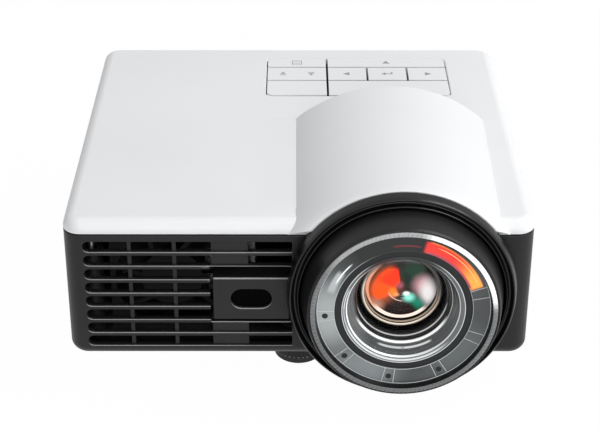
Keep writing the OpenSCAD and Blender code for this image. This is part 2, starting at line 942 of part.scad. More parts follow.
// Outline of a spur gear whose first tooth points along +X, turned by phase.
module gear_outline(teeth, phase) {
    r = gear_module * teeth / 2;
    root = gear_module * 0.86;
    flank = gear_module * 0.68;
    tip = gear_module * 0.36;
    function at(radius, across, turn) =
        [radius * cos(turn) - across * sin(turn), radius * sin(turn) + across * cos(turn)];
    polygon([
        for (i = [0:teeth - 1]) let (turn = phase + 360 * i / teeth)
            for (p = [[r - dedendum, -root], [r, -flank], [r + addendum, -tip],
                      [r + addendum, tip], [r, flank], [r - dedendum, root]])
                at(p[0], p[1], turn)
    ]);
}

module focus_gear() {
    color("whitesmoke")
        seat()
            on_lens_axis()
                translate([0, 0, gear_y])
                    difference() {
                        linear_extrude(height = gear_w)
                            gear_outline(ring_teeth, 0);
                        translate([0, 0, -1])
                            cylinder(r = tube_r + run_fit, h = gear_w + 2, $fn = turn_fn);
                    }
}

module focus_pinion() {
    // At rest the pinion has a gap where the ring gear has a tooth.
    half_step = 180 / pinion_teeth;
    color("whitesmoke")
        seat()
            on_lens_axis()
                translate([pinion_x, 0, gear_y]) {
                    linear_extrude(height = gear_w)
                        gear_outline(pinion_teeth, half_step);
                    translate([0, 0, -0.5])
                        cylinder(r = shaft_r, h = motor_y + motor_l / 2 - gear_y, $fn = small_fn);
                }
}

module focus_motor() {
    color(steel)
        seat()
            on_lens_axis()
                translate([pinion_x, 0, motor_y])
                    difference() {
                        cylinder(r = motor_r, h = motor_l, $fn = small_fn);
                        translate([0, 0, -1])
                            cylinder(r = shaft_r + run_fit, h = 1 + motor_l / 2 + 1, $fn = small_fn);
                    }
}

module focus_bracket() {
    color(steel)
        seat()
            on_lens_axis()
                translate([0, 0, bracket_y])
                    difference() {
                        union() {
                            cylinder(r = tube_r + 2, h = bracket_t, $fn = turn_fn);
                            translate([pinion_x, 0, 0])
                                cylinder(r = motor_r, h = bracket_t, $fn = small_fn);
                            translate([pinion_x, -2, 0])
                                cube([-pinion_x - tube_r, 4, bracket_t]);
                        }
                        translate([0, 0, -1])
                            cylinder(r = tube_r + run_fit, h = bracket_t + 2, $fn = turn_fn);
                        translate([pinion_x, 0, -1])
                            cylinder(r = 2, h = bracket_t + 2, $fn = small_fn);
                    }
}

// ---- Keypad ----

row_front = [keys_front, keys_front + key_rows[0], keys_front + key_rows[0] + key_rows[1]];
cross_w = (keys_right - keys_mid) / 3;
key_under = top_h - key_t;
lip_top = cover_under - 0.4;
lip_t = 1;
plunger_end = top_h - 4.1;
plunger_r = 1.2;
switch_h = 2.4;
board_top = plunger_end - key_travel - switch_h;

// A key between two x values in a row, with lips under the cover on the sides named.
module key_cap(left, right, row, lips) {
    front = row_front[row];
    back = front + key_rows[row];
    difference() {
        union() {
            intersection() {
                span(
                    [left + key_gap, front + key_gap, lip_top - lip_t],
                    [right - key_gap, back - key_gap, top_h + 0.1]
                );
                shrunk_opening();
            }
            span(
                [left + key_gap - lips[0] * (key_lip + key_gap), front + key_gap - lips[2] * (key_lip + key_gap),
                    lip_top - lip_t],
                [right - key_gap + lips[1] * (key_lip + key_gap), back - key_gap + lips[3] * (key_lip + key_gap),
                    lip_top]
            );
        }
        // Hollow under the cap
        span(
            [left + key_gap + 1.2, front + key_gap + 1.2, 0],
            [right - key_gap - 1.2, back - key_gap - 1.2, key_under + 0.6]
        );
    }
    translate([(left + right) / 2, (front + back) / 2, plunger_end])
        cylinder(r = plunger_r, h = key_under + 0.6 + eps - plunger_end, $fn = small_fn);
}

// The key opening less the gap round the keys.
module shrunk_opening() {
    r = keys_corner - key_gap;
    translate([0, 0, lip_top - lip_t])
        linear_extrude(height = top_h)
            hull()
                for (x = [keys_left + keys_corner, keys_right - keys_corner],
                     y = [keys_front + keys_corner, keys_back - keys_corner])
                    translate([x, y])
                        circle(r = r, $fn = hull_fn);
}

module menu_key() {
    color(pale)
        seat()
            key_cap(keys_left, keys_mid, 2, [1, 0, 0, 1]);
}

rocker_x = (keys_left + keys_mid) / 2;
rocker_pivot_z = top_h - 3.3;
rocker_reach = 5;
fulcrum_w = 1;

module keystone_rocker() {
    // Room for the fulcrum at full tilt
    swing = 0.03 + 0.6 * sin(rocker_tilt);
    color(pale)
        seat()
            difference() {
                union() {
                    difference() {
                        span(
                            [keys_left + key_gap, row_front[1] + key_gap, lip_top - lip_t],
                            [keys_mid - key_gap, row_front[2] - key_gap, top_h + 0.1]
                        );
                        span(
                            [keys_left + key_gap + 1.2, row_front[1] + key_gap + 1.2, 0],
                            [keys_mid - key_gap - 1.2, row_front[2] - key_gap - 1.2, key_under + 0.6]
                        );
                    }
                    // Rib that rides on the tray's fulcrum, and a plunger for each end
                    span(
                        [rocker_x - 1.6, row_front[1] + key_gap + 0.4, rocker_pivot_z - 0.6],
                        [rocker_x + 1.6, row_front[2] - key_gap - 0.4, key_under + 0.7]
                    );
                    for (side = [-1, 1])
                        translate([rocker_x + side * rocker_reach, row_front[1] + key_rows[1] / 2, plunger_end])
                            cylinder(r = plunger_r, h = key_under + 0.7 - plunger_end, $fn = small_fn);
                }
                translate([rocker_x, row_front[1] - 1, rocker_pivot_z])
                    rotate([-90, 0, 0])
                        cylinder(r = 0.8 + run_fit, h = key_rows[1] + 2, $fn = small_fn);
                span(
                    [rocker_x - fulcrum_w / 2 - swing, row_front[1] - 1, 0],
                    [rocker_x + fulcrum_w / 2 + swing, row_front[2] + 1, rocker_pivot_z]
                );
            }
}

module source_key() {
    color(pale)
        seat()
            key_cap(keys_left, keys_mid, 0, [1, 0, 1, 0]);
}

module up_key() {
    color(pale)
        seat()
            key_cap(keys_mid, keys_right, 2, [0, 1, 0, 1]);
}

module left_key() {
    color(pale)
        seat()
            key_cap(keys_mid, keys_mid + cross_w, 1, [0, 0, 0, 0]);
}

module enter_key() {
    color(pale)
        seat()
            key_cap(keys_mid + cross_w, keys_mid + 2 * cross_w, 1, [0, 0, 0, 0]);
}

module right_key() {
    color(pale)
        seat()
            key_cap(keys_mid + 2 * cross_w, keys_right, 1, [0, 1, 0, 0]);
}

module down_key() {
    color(pale)
        seat()
            key_cap(keys_mid, keys_right, 0, [0, 1, 1, 0]);
}

// Middle of every plunger.
mid_y = [for (row = [0:2]) row_front[row] + key_rows[row] / 2];
left_x = (keys_left + keys_mid) / 2;
right_x = (keys_mid + keys_right) / 2;
switch_spots = [
    [left_x, mid_y[0]], [left_x, mid_y[2]],
    [rocker_x - rocker_reach, mid_y[1]], [rocker_x + rocker_reach, mid_y[1]],
    [right_x, mid_y[0]], [right_x, mid_y[2]],
    [right_x - cross_w, mid_y[1]], [right_x, mid_y[1]], [right_x + cross_w, mid_y[1]],
];
board_thin = 1;
tray_t = 1.2;
tray_rim = 3.5;
tray_under = board_top - board_thin - tray_t;

module key_board() {
    color(board_green)
        seat()
            difference() {
                span(
                    [keys_left - 2, keys_front - 2, board_top - board_thin],
                    [keys_right + 2, keys_back + 1, board_top]
                );
                span(
                    [rocker_x - 1, row_front[1] + 0.5, 0],
                    [rocker_x + 1, row_front[2] - 0.5, top_h]
                );
            }
}

module key_switches() {
    color(satin_black)
        seat()
            for (spot = switch_spots)
                translate([spot.x, spot.y, board_top]) {
                    translate([-1.9, -1.9, 0])
                        cube([3.8, 3.8, switch_h - 1]);
                    cylinder(r = 1, h = switch_h - 0.1, $fn = small_fn);
                }
}

// Tray that carries the key board, the rocker's fulcrum and its hooks under the cover.
module key_tray() {
    tray_top = board_top - board_thin;
    front = keys_front - tray_rim;
    back = keys_back + 1.5;
    color(charcoal)
        seat() {
            span([keys_left - tray_rim, front, tray_under], [keys_right + tray_rim, back, tray_top]);
            for (x = [keys_left - tray_rim, keys_right + tray_rim - tray_t])
                span([x, front, tray_top - eps], [x + tray_t, back, cover_under]);
            span(
                [rocker_x - fulcrum_w / 2, row_front[1] + 1, tray_top - eps],
                [rocker_x + fulcrum_w / 2, row_front[2] - 1, rocker_pivot_z]
            );
            translate([rocker_x, row_front[1] + 1, rocker_pivot_z])
                rotate([-90, 0, 0])
                    cylinder(r = 0.8, h = key_rows[1] - 2, $fn = small_fn);
        }
}

// ---- Feet and tripod socket ----

// Box of the optical engine's housing
engine_left = lens_x - 18.5;
engine_w = body_w / 2 - engine_side - engine_left;
engine_front = tube_end + 2;
engine_back = keys_front - tray_rim - engine_rear;
engine_d = engine_back - engine_front;
engine_h = 2 * (cover_under - engine_head - lens_z);
engine_low = lens_z - engine_h / 2;
board_front = body_d - board_room;
tripod_x = engine_left - tripod_aside;
tripod_y = board_front - tripod_ahead;

bush_r = foot_screw_r + 1.4;
// The screw keeps 7 mm of thread in the bush at full travel
bush_top = foot_travel + 7;
foot_disc_top = lift - sole_t - foot_disc_h;
foot_boss_drop = foot_disc_top - 0.5;
sole_pin_r = 1.5;
insert_r = tripod_r + 1.8;
insert_h = tripod_depth + 1.2;

module foot_screw() {
    grips = 24;
    color(satin_black)
        seat()
            translate([0, foot_y, sole_t - lift])
                difference() {
                    union() {
                        cylinder(r = foot_r, h = foot_disc_h, $fn = turn_fn);
                        cylinder(r = foot_screw_r, h = lift - sole_t + bush_top - 0.5, $fn = small_fn);
                    }
                    for (i = [0:grips - 1])
                        rotate([0, 0, 360 * i / grips])
                            translate([foot_r + 0.15, 0, 0.8])
                                cylinder(r = 0.45, h = foot_disc_h, $fn = 16);
                    translate([0, 0, -1])
                        cylinder(r = sole_pin_r + run_fit, h = 1 + 2.6, $fn = small_fn);
                }
}

module foot_sole() {
    color(satin_black)
        seat()
            translate([0, foot_y, -lift]) {
                cylinder(r = foot_r - 0.5, h = sole_t, $fn = turn_fn);
                cylinder(r = sole_pin_r, h = sole_t + 2.4, $fn = small_fn);
            }
}

module foot_bush() {
    color(brass)
        seat()
            translate([0, foot_y, -foot_boss_drop + 0.2])
                difference() {
                    cylinder(r = bush_r, h = bush_top + foot_boss_drop - 1.2, $fn = small_fn);
                    translate([0, 0, -1])
                        cylinder(r = foot_screw_r + run_fit, h = bush_top + foot_boss_drop + 2, $fn = small_fn);
                }
}

module rear_soles() {
    color(satin_black)
        seat()
            for (side = [-1, 1])
                translate([side * rear_foot_pitch / 2, body_d - rear_foot_inset, -lift])
                    cylinder(r = rear_foot_r, h = sole_t, $fn = turn_fn);
}

module tripod_insert() {
    color(brass)
        seat()
            translate([tripod_x, tripod_y, 0])
                difference() {
                    cylinder(r = insert_r, h = insert_h, $fn = small_fn);
                    translate([0, 0, -1])
                        cylinder(r = tripod_r, h = tripod_depth + 1, $fn = small_fn);
                }
}

// ---- Board and sockets ----

board_rear = body_d - shell_t - 1.4;
board_notch_y = body_d - 14;
board_left = -inner_w / 2 + 1;
board_right = inner_w / 2 - 1;
board_post_inset = 3;
board_posts = [
    [board_left + 9, board_front + board_post_inset],
    [-board_post_inset - 3, board_front + board_post_inset],
    [board_left + 18, board_rear - 13],
    [board_right - 12, board_notch_y + board_post_inset],
];
socket_base = board_z + board_t;
socket_l = 11.5;
socket_face = body_d - 0.8;

module main_board() {
    color(board_green)
        seat()
            difference() {
                translate([0, 0, board_z])
                    linear_extrude(height = board_t)
                        polygon([
                            [board_left, board_front],
                            [0, board_front],
                            [0, board_notch_y],
                            [board_right, board_notch_y],
                            [board_right, board_rear],
                            [board_left, board_rear],
                        ]);
                for (spot = screw_spots)
                    translate([spot.x, spot.y, 0])
                        cylinder(r = boss_r + 0.5, h = top_h, $fn = small_fn);
            }
}

// Chips: distance from the board's left and rear edges, width, depth and height
chips = [[12.2, 36.8, 14, 14, 3], [34.2, 39.8, 10, 12, 1.2], [34.2, 21.8, 10, 8, 1.2], [15.2, 15.3, 8, 4, 4.5]];

module board_chips() {
    color(satin_black)
        seat()
            for (chip = chips)
                translate([board_left + chip[0], board_rear - chip[1], socket_base])
                    cube([chip[2], chip[3], chip[4]]);
}

// Body of a rear socket, standing on the board with its face to the rear.
module socket_body(i) {
    translate([socket_x[i] - socket_w[i] / 2, socket_face - socket_l, socket_base])
        cube([socket_w[i], socket_l, socket_h[i]]);
}

// A rear socket with a wall, a rectangular mouth and a tongue in it.
module shell_socket(i, wall, tongue_h) {
    difference() {
        socket_body(i);
        translate([socket_x[i] - socket_w[i] / 2 + wall, socket_face - socket_l + 2, socket_base + wall])
            cube([socket_w[i] - 2 * wall, socket_l, socket_h[i] - 2 * wall]);
    }
    translate([
        socket_x[i] - socket_w[i] / 2 + wall + 1,
        socket_face - socket_l + 2 - eps,
        socket_base + socket_h[i] / 2 - tongue_h / 2,
    ])
        cube([socket_w[i] - 2 * wall - 2, socket_l - 3, tongue_h]);
}

module power_socket() {
    z = socket_base + socket_h[0] / 2;
    color(satin_black)
        seat() {
            difference() {
                socket_body(0);
                translate([socket_x[0], socket_face + 1, z])
                    rotate([90, 0, 0])
                        cylinder(r = power_r, h = socket_l - 1, $fn = small_fn);
            }
            translate([socket_x[0], socket_face - 1.5, z])
                rotate([90, 0, 0])
                    cylinder(r = 1, h = socket_l - 3, $fn = small_fn);
        }
}

module video_socket() {
    color(steel)
        seat()
            shell_socket(1, 0.5, 1);
}

module display_socket() {
    color(steel)
        seat()
            shell_socket(2, 0.6, 1.2);
}

module data_socket() {
    color(steel)
        seat()
            shell_socket(3, 0.5, 1.8);
}

module card_socket() {
    color(steel)
        seat()
            difference() {
                socket_body(4);
                translate([socket_x[4] - 5.6, socket_face - socket_l + 1, socket_base + 0.5])
                    cube([11.2, socket_l, 0.9]);
            }
}

module sound_socket() {
    color(satin_black)
        seat()
            difference() {
                socket_body(5);
                translate([socket_x[5], socket_face + 1, socket_base + socket_h[5] / 2])
                    rotate([90, 0, 0])
                        cylinder(r = sound_r, h = socket_l, $fn = small_fn);
            }
}

// ---- Light engine and cooling ----

engine_wall = 2;
snout_r = tube_r + 3;
chip_window = [14, 10];
chip_board = [28, 22];

module engine_housing() {
    wall = engine_wall;
    color(satin_black)
        seat()
            difference() {
                union() {
                    span(
                        [engine_left, engine_front, engine_low],
                        [engine_left + engine_w, engine_back, engine_low + engine_h]
                    );
                    lens_ring(snout_r, 0, tube_end - 4, engine_front + eps);
                    // Feet down to the floor of the case
                    for (x = [engine_left + 4, engine_left + engine_w - 4], y = [engine_front + 4, engine_back - 4])
                        translate([x, y, shell_t])
                            cylinder(r = 2.5, h = engine_low - shell_t + 1, $fn = small_fn);
                }
                lens_ring(tube_r + run_fit, 0, tube_end - 5, tube_end + run_fit);
                lens_ring(rear_lens_r, 0, tube_end - 1, engine_front + wall + 1);
                span(
                    [engine_left + wall, engine_front + wall, engine_low + wall],
                    [engine_left + engine_w - wall, engine_back - wall, engine_low + engine_h - wall]
                );
                // Window for the mirror chip
                span(
                    [lens_x - chip_window.x / 2, engine_back - wall - 1, lens_z - chip_window.y / 2],
                    [lens_x + chip_window.x / 2, engine_back + 1, lens_z + chip_window.y / 2]
                );
            }
}

chip_board_rear = engine_back + 1.2;

module mirror_chip_board() {
    half = chip_board / 2;
    chip = chip_window / 2 - [0.5, 0.5];
    color(board_green)
        seat() {
            span(
                [lens_x - half.x, engine_back, lens_z - half.y],
                [lens_x + half.x, chip_board_rear, lens_z + half.y]
            );
            span(
                [lens_x - chip.x, engine_back - engine_wall + 0.4, lens_z - chip.y],
                [lens_x + chip.x, engine_back + eps, lens_z + chip.y]
            );
        }
}

module chip_heat_sink() {
    fins = 7;
    pitch = 3.6;
    fin_d = 6.5;
    half = 12;
    low = lens_z - 10;
    high = tray_under - 2.1;
    color(steel)
        seat() {
            span([lens_x - half, chip_board_rear, low], [lens_x + half, chip_board_rear + 1.6, high]);
            for (i = [0:fins - 1])
                translate([lens_x + (i - (fins - 1) / 2) * pitch - 0.5, chip_board_rear, low])
                    cube([1, fin_d, high - low]);
        }
}

// Middles and width of the light modules, as shares of the engine's depth
led_y = [engine_front + 0.4375 * engine_d, engine_front + 0.797 * engine_d];
led_w = 0.3125 * engine_d;
led_z = 12;
led_low = led_z - led_h / 3;

module led_modules() {
    color("orange")
        seat() {
            for (y = led_y)
                span(
                    [engine_left - led_plate_t, y - led_w / 2, led_low],
                    [engine_left, y + led_w / 2, led_low + led_h]
                );
            span(
                [engine_left + engine_w, led_y[1] - led_w / 2, led_low],
                [engine_left + engine_w + led_plate_t, led_y[1] + led_w / 2, led_low + led_h]
            );
        }
}

fan_x = fan_inset - body_w / 2;
fan_y = 8.5;
fan_z = shell_t + 0.2;
pipe_bend = 5;
pipe_step = 7;
sink_x = fan_x - sink_w / 2 + 2;
sink_y = fan_y + fan_d + 3;
sink_d = led_y[0] - pipe_bend - 1.5 - sink_y;
sink_z = shell_t + 1.2;
sink_h = cover_under - sink_z - 2.5;

// Pipes from the heat sink's base to the light modules.
module heat_pipes() {
    color(brass)
        seat()
            for (i = [0, 1]) {
                x = sink_x + sink_w - 5 - i * pipe_step;
                turn_x = x + pipe_bend;
                end_x = engine_left - led_plate_t;
                start = sink_y + sink_d - 0.2;
                z = led_z + i * 5;
                // Straight run to the rear, a quarter bend and a run across to the module
                translate([x, start, z])
                    rotate([-90, 0, 0])
                        cylinder(r = pipe_r, h = led_y[i] - pipe_bend - start, $fn = small_fn);
                translate([turn_x, led_y[i] - pipe_bend, z])
                    rotate([0, 0, 90])
                        rotate_extrude(angle = 90, $fn = small_fn)
                            translate([pipe_bend, 0])
                                circle(r = pipe_r, $fn = small_fn);
                translate([turn_x, led_y[i], z])
                    rotate([0, 90, 0])
                        cylinder(r = pipe_r, h = end_x - turn_x, $fn = small_fn);
            }
}

module heat_sink() {
    fin_t = 1;
    pitch = (sink_w - fin_t) / (sink_fins - 1);
    color(steel)
        seat() {
            span([sink_x, sink_y, sink_z], [sink_x + sink_w, sink_y + sink_d, sink_z + 3]);
            span([sink_x, sink_y + sink_d - 6, sink_z], [sink_x + sink_w, sink_y + sink_d - 0.2, led_z + 8]);
            for (i = [0:sink_fins - 1])
                translate([sink_x + i * pitch, sink_y, sink_z])
                    cube([fin_t, sink_d - 0.2, sink_h]);
        }
}

// Puts a piece whose axis is Z on the fan's axis, with +Z to the rear.
module on_fan_axis() {
    translate([fan_x, fan_y, fan_z + fan_size / 2])
        rotate([-90, 0, 0])
            children();
}

fan_bore = fan_size / 2 - 1.2;
hub_r = 7.5;
shaft_bore_r = 1.2;

module fan_frame() {
    arms = 3;
    hole = fan_size / 2 - 2.8;
    color(satin_black)
        seat()
            on_fan_axis()
                difference() {
                    union() {
                        difference() {
                            translate([-fan_size / 2, -fan_size / 2, 0])
                                cube([fan_size, fan_size, fan_d]);
                            translate([0, 0, -1])
                                cylinder(r = fan_bore, h = fan_d + 2, $fn = turn_fn);
                        }
                        // Three arms carry the motor's plate at the rear
                        for (i = [0:arms - 1])
                            rotate([0, 0, 90 + 360 * i / arms])
                                translate([hub_r - 1, -1, fan_d - 1.5])
                                    cube([fan_bore - hub_r + 1.6, 2, 1.2]);
                        translate([0, 0, fan_d - 1.7])
                            cylinder(r = hub_r, h = 1.6, $fn = turn_fn);
                        translate([0, 0, fan_d - 5])
                            cylinder(r = shaft_bore_r + 1, h = 4, $fn = small_fn);
                    }
                    translate([0, 0, -1])
                        cylinder(r = shaft_bore_r, h = fan_d + 2, $fn = small_fn);
                    for (x = [-hole, hole], y = [-hole, hole])
                        translate([x, y, -1])
                            cylinder(r = 1.3, h = fan_d + 2, $fn = small_fn);
                }
}

module fan_rotor() {
    cup = fan_d - 2.2;
    blade_l = fan_bore - 0.6;
    color(charcoal)
        seat()
            on_fan_axis() {
                difference() {
                    translate([0, 0, 0.6])
                        cylinder(r = hub_r, h = cup - 0.6, $fn = turn_fn);
                    translate([0, 0, 1.8])
                        cylinder(r = hub_r - 1, h = fan_d, $fn = turn_fn);
                }
                translate([0, 0, 1])
                    cylinder(r = shaft_bore_r - run_fit, h = fan_d - 1.4, $fn = small_fn);
                intersection() {
                    difference() {
                        translate([0, 0, 0.8])
                            cylinder(r = blade_l, h = cup - 1.2, $fn = turn_fn);
                        cylinder(r = hub_r - 0.4, h = fan_d, $fn = turn_fn);
                    }
                    for (i = [0:fan_blades - 1])
                        rotate([0, 0, 360 * i / fan_blades])
                            translate([0, 0, 0.5 + cup / 2])
                                rotate([52, 0, 0])
                                    translate([0, -fan_d, -0.45])
                                        cube([fan_size, 2 * fan_d, 0.9]);
                }
            }
}

module speaker() {
    right = inner_w / 2 - 1.2;
    left = right - speaker_t;
    front = 19;
    low = board_z;
    color(satin_black)
        seat() {
            span([left, front, low], [right, front + speaker_l, low + speaker_h]);
            // Posts down to the floor
            for (y = [front + 3, front + speaker_l - 3])
                translate([(left + right) / 2, y, shell_t])
                    cylinder(r = 2, h = low - shell_t + 0.3, $fn = small_fn);
            // Cone, towards the vents in the side
            translate([right - eps, front + speaker_l / 2, low + speaker_h / 2])
                rotate([0, 90, 0])
                    cylinder(d = 0.8 * speaker_h, h = 0.8, $fn = small_fn);
        }
}

top_cover();
bottom_case();
front_panel();
rear_panel();
case_screws();
sensor_block();
sensor_window();
sensor_board();
lens_collar();
lens_barrel();
lens_rim();
front_lens();
lens_spacer();
lens_tube();
focus_cell();
inner_lens();
rear_lens();
focus_gear();
focus_pinion();
focus_motor();
focus_bracket();
menu_key();
keystone_rocker();
source_key();
up_key();
left_key();
enter_key();
right_key();
down_key();
key_board();
key_switches();
key_tray();
foot_screw();
foot_sole();
foot_bush();
rear_soles();
tripod_insert();
main_board();
board_chips();
power_socket();
video_socket();
display_socket();
data_socket();
card_socket();
sound_socket();
engine_housing();
mirror_chip_board();
chip_heat_sink();
led_modules();
heat_pipes();
heat_sink();
fan_frame();
fan_rotor();
speaker();
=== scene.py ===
"""A compact short-throw LED projector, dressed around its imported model.

Sizes are millimetres in the housing's own frame: x from the middle of the body, y from
its front face to the rear, and z from its underside. Seat turns them into metres.
"""

import logging
import math
from collections.abc import Sequence
from dataclasses import dataclass, field
from enum import Enum

import bmesh
import bpy
from mathutils import Matrix, Vector


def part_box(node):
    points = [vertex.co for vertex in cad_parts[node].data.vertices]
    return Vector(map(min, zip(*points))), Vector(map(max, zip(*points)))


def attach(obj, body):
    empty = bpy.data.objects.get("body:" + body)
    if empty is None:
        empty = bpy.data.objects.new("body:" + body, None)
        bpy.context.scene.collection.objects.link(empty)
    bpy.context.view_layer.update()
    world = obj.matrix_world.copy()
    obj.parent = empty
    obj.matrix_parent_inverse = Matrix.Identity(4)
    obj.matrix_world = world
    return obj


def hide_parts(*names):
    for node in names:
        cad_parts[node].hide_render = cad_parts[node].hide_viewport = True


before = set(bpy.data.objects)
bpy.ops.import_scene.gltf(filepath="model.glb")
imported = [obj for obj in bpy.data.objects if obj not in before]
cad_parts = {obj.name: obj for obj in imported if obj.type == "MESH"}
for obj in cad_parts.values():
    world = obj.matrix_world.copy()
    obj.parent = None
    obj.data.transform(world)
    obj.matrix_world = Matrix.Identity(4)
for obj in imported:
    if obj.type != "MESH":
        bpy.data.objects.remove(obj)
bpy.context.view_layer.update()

LOG = logging.getLogger("projector")
MM = 0.001
MERGED = 0.002 * MM
NO_SIZE = 0.001 * MM
SHARPEST = 0.0001

Flat = tuple[float, float]
Point = tuple[float, float, float]
Colour = tuple[float, float, float]
Piece = bpy.types.Object
Material = bpy.types.Material
Tree = bpy.types.NodeTree
Node = bpy.types.Node
Socket = bpy.types.NodeSocket
Feed = Socket | float | Sequence[float]
Names = dict[str, Sequence[str]]


# ---- Places and meshes ----


@dataclass(frozen=True)
class Seat:
    """Place of the housing's own frame in the scene.

    Attributes:
        front: Y of the front face, in metres.
        underside: Z of the underside, in metres.
    """

    front: float
    underside: float

    def point(self, place: Sequence[float]) -> Vector:
        """A place in the housing's millimetres as a point in the scene's metres."""
        x, y, z = place
        return Vector((x * MM, self.front + y * MM, self.underside + z * MM))


ORIGIN = Seat(0.0, 0.0)


class Plane(Enum):
    """Plane in which an outline is drawn; its blocks run square to it."""

    LEVEL = "x and y, stacked along z"
    UPRIGHT = "x and z, stacked along y"

    def place(self, spot: Flat, level: float) -> Point:
        """A point of an outline at a level across the plane."""
        u, v = spot
        return (u, v, level) if self is Plane.LEVEL else (u, level, v)


def arc(centre: Flat, radius: float, start: float, end: float, steps: int) -> list[Flat]:
    """Points along an arc.

    Args:
        centre: Middle of the arc.
        radius: Its radius.
        start: First angle in degrees.
        end: Last angle in degrees.
        steps: Number of chords.

    Returns:
        The points, both ends included.
    """
    turns = [math.radians(start + (end - start) * i / steps) for i in range(steps + 1)]
    return [(centre[0] + radius * math.cos(t), centre[1] + radius * math.sin(t)) for t in turns]


def rounded(low: Flat, high: Flat, radii: Sequence[float], grow: float = 0.0, steps: int = 8) -> list[Flat]:
    """Outline of a rectangle with rounded corners.

    Args:
        low: Lowest corner.
        high: Highest corner.
        radii: Radius of each corner, counter-clockwise from the lowest one.
        grow: How far the outline stands outside the rectangle.
        steps: Chords in each corner.

    Returns:
        The outline's points, counter-clockwise.
    """
    corners = [low, (high[0], low[1]), high, (low[0], high[1])]
    sides = [(1, 1), (-1, 1), (-1, -1), (1, -1)]
    points: list[Flat] = []
    for turn, (corner, side, radius) in enumerate(zip(corners, sides, radii)):
        centre = (corner[0] + side[0] * radius, corner[1] + side[1] * radius)
        points += arc(centre, max(radius + grow, SHARPEST), 180 + 90 * turn, 270 + 90 * turn, steps)
    return points


def soften(profile: Sequence[Flat], radius: float, steps: int = 3) -> list[Flat]:
    """Rounds the corners of a closed profile, apart from those on the axis.

    Args:
        profile: The profile's corners.
        radius: Length that is taken off each side of a corner.
        steps: Chords in each rounded corner.

    Returns:
        The rounded profile.
    """
    on_axis, most = 1e-6, 0.45
    made: list[Flat] = []
    for i, corner in enumerate(profile):
        before, here, after = Vector(profile[i - 1]), Vector(corner), Vector(profile[(i + 1) % len(profile)])
        if here.x < on_axis:
            made.append(corner)
            continue
        cut = min(radius, most * (before - here).length, most * (after - here).length)
        start = here + (before - here).normalized() * cut
        end = here + (after - here).normalized() * cut
        for k in range(steps + 1):
            t = k / steps
            spot = start * (1 - t) ** 2 + here * 2 * t * (1 - t) + end * t * t
            made.append((spot.x, spot.y))
    return made


def stand(name: str, data: bpy.types.ID) -> Piece:
    """Makes an object and puts it in the scene.

    Args:
        name: Its name.
        data: Its mesh, camera or lamp.

    Returns:
        The object.
    """
    made = bpy.data.objects.new(name, data)
    bpy.context.scene.collection.objects.link(made)
    return made


def use_up(piece: Piece) -> None:
    """Removes a piece's mesh, and the piece with it."""
    bpy.data.meshes.remove(piece.data)


class Draft:
    """A closed mesh in the making, in the housing's own millimetres."""

    def __init__(self) -> None:
        """Starts without vertices or faces."""
        self.verts: list[Point] = []
        self.faces: list[tuple[int, ...]] = []

    def skin(self, rings: Sequence[Sequence[Point]], looped: bool = False) -> "Draft":
        """Adds a skin over rings that have as many points each.

        Args:
            rings: The rings, in order.
            looped: True joins the last ring to the first; False closes both ends.

        Returns:
            The draft itself.
        """
        base, n = len(self.verts), len(rings[0])
        self.verts += [point for ring in rings for point in ring]
        last = len(rings) if looped else len(rings) - 1
        for r in range(last):
            a, b = base + r * n, base + (r + 1) % len(rings) * n
            for i in range(n):
                j = (i + 1) % n
                self.faces.append((a + i, a + j, b + j, b + i))
        if not looped:
            self.faces.append(tuple(base + n - 1 - i for i in range(n)))
            self.faces.append(tuple(base + (len(rings) - 1) * n + i for i in range(n)))
        return self

    def build(self, name: str, seat: Seat) -> Piece:
        """Makes the object, with its doubles merged and its normals outwards.

        Args:
            name: Name of the piece.
            seat: Place of the housing's frame.

        Returns:
            The new object, at the scene's origin.
        """
        mesh = bpy.data.meshes.new(name)
        mesh.from_pydata([seat.point(v) for v in self.verts], [], self.faces)
        tidy_mesh(mesh)
        return stand(name, mesh)


def tidy_mesh(mesh: bpy.types.Mesh, from_cad: bool = False) -> None:
    """Merges a mesh's doubles and drops what has no size.

    Args:
        mesh: The mesh.
        from_cad: True merges its level faces; False turns its faces outwards.
    """
    work = bmesh.new()
    work.from_mesh(mesh)
    bmesh.ops.remove_doubles(work, verts=work.verts, dist=MERGED)
    bmesh.ops.dissolve_degenerate(work, edges=work.edges, dist=NO_SIZE)
    if from_cad:
        bmesh.ops.dissolve_limit(work, angle_limit=math.radians(1), verts=work.verts, edges=work.edges)
    else:
        bmesh.ops.recalc_face_normals(work, faces=work.faces)
    work.to_mesh(mesh)
    work.free()
    mesh.update()


def block(
    plane: Plane,
    low: Flat,
    high: Flat,
    corners: float | Sequence[float],
    span: Flat,
    eased: Flat = (0.0, 0.0),
    steps: int = 6,
    corner_steps: int = 8,
) -> Draft:
    """A block with rounded corners and rounded or flared ends.

    Args:
        plane: Plane of its outline.
        low: Lowest corner of the outline.
        high: Highest corner of the outline.
        corners: Radius of the corners, one or four.
        span: Levels of its two ends.
        eased: Radius of each end's edge; a negative one flares out, as a cutter does.
        steps: Chords in an end's edge.
        corner_steps: Chords in a corner.

    Returns:
        The block's draft.
    """
    radii = [corners] * 4 if isinstance(corners, (int, float)) else list(corners)
    sections: list[Flat] = []
    for end, inwards in ((0, 1), (1, -1)):
        reach = abs(eased[end])
        for k in range(steps + 1)[::inwards]:
            turn = math.radians(90 * (k / steps))
            grow = -math.copysign(reach * (1 - math.sin(turn)), eased[end])
            sections.append((span[end] + inwards * reach * (1 - math.cos(turn)), grow))
    if eased[0] < 0:
        sections.insert(0, (span[0] - 1, -eased[0]))
    if eased[1] < 0:
        sections.append((span[1] + 1, -eased[1]))
    rings = []
    for level, grow in sections:
        outline = rounded(low, high, radii, grow, corner_steps)
        rings.append([plane.place(spot, level) for spot in outline])
    return Draft().skin(rings)


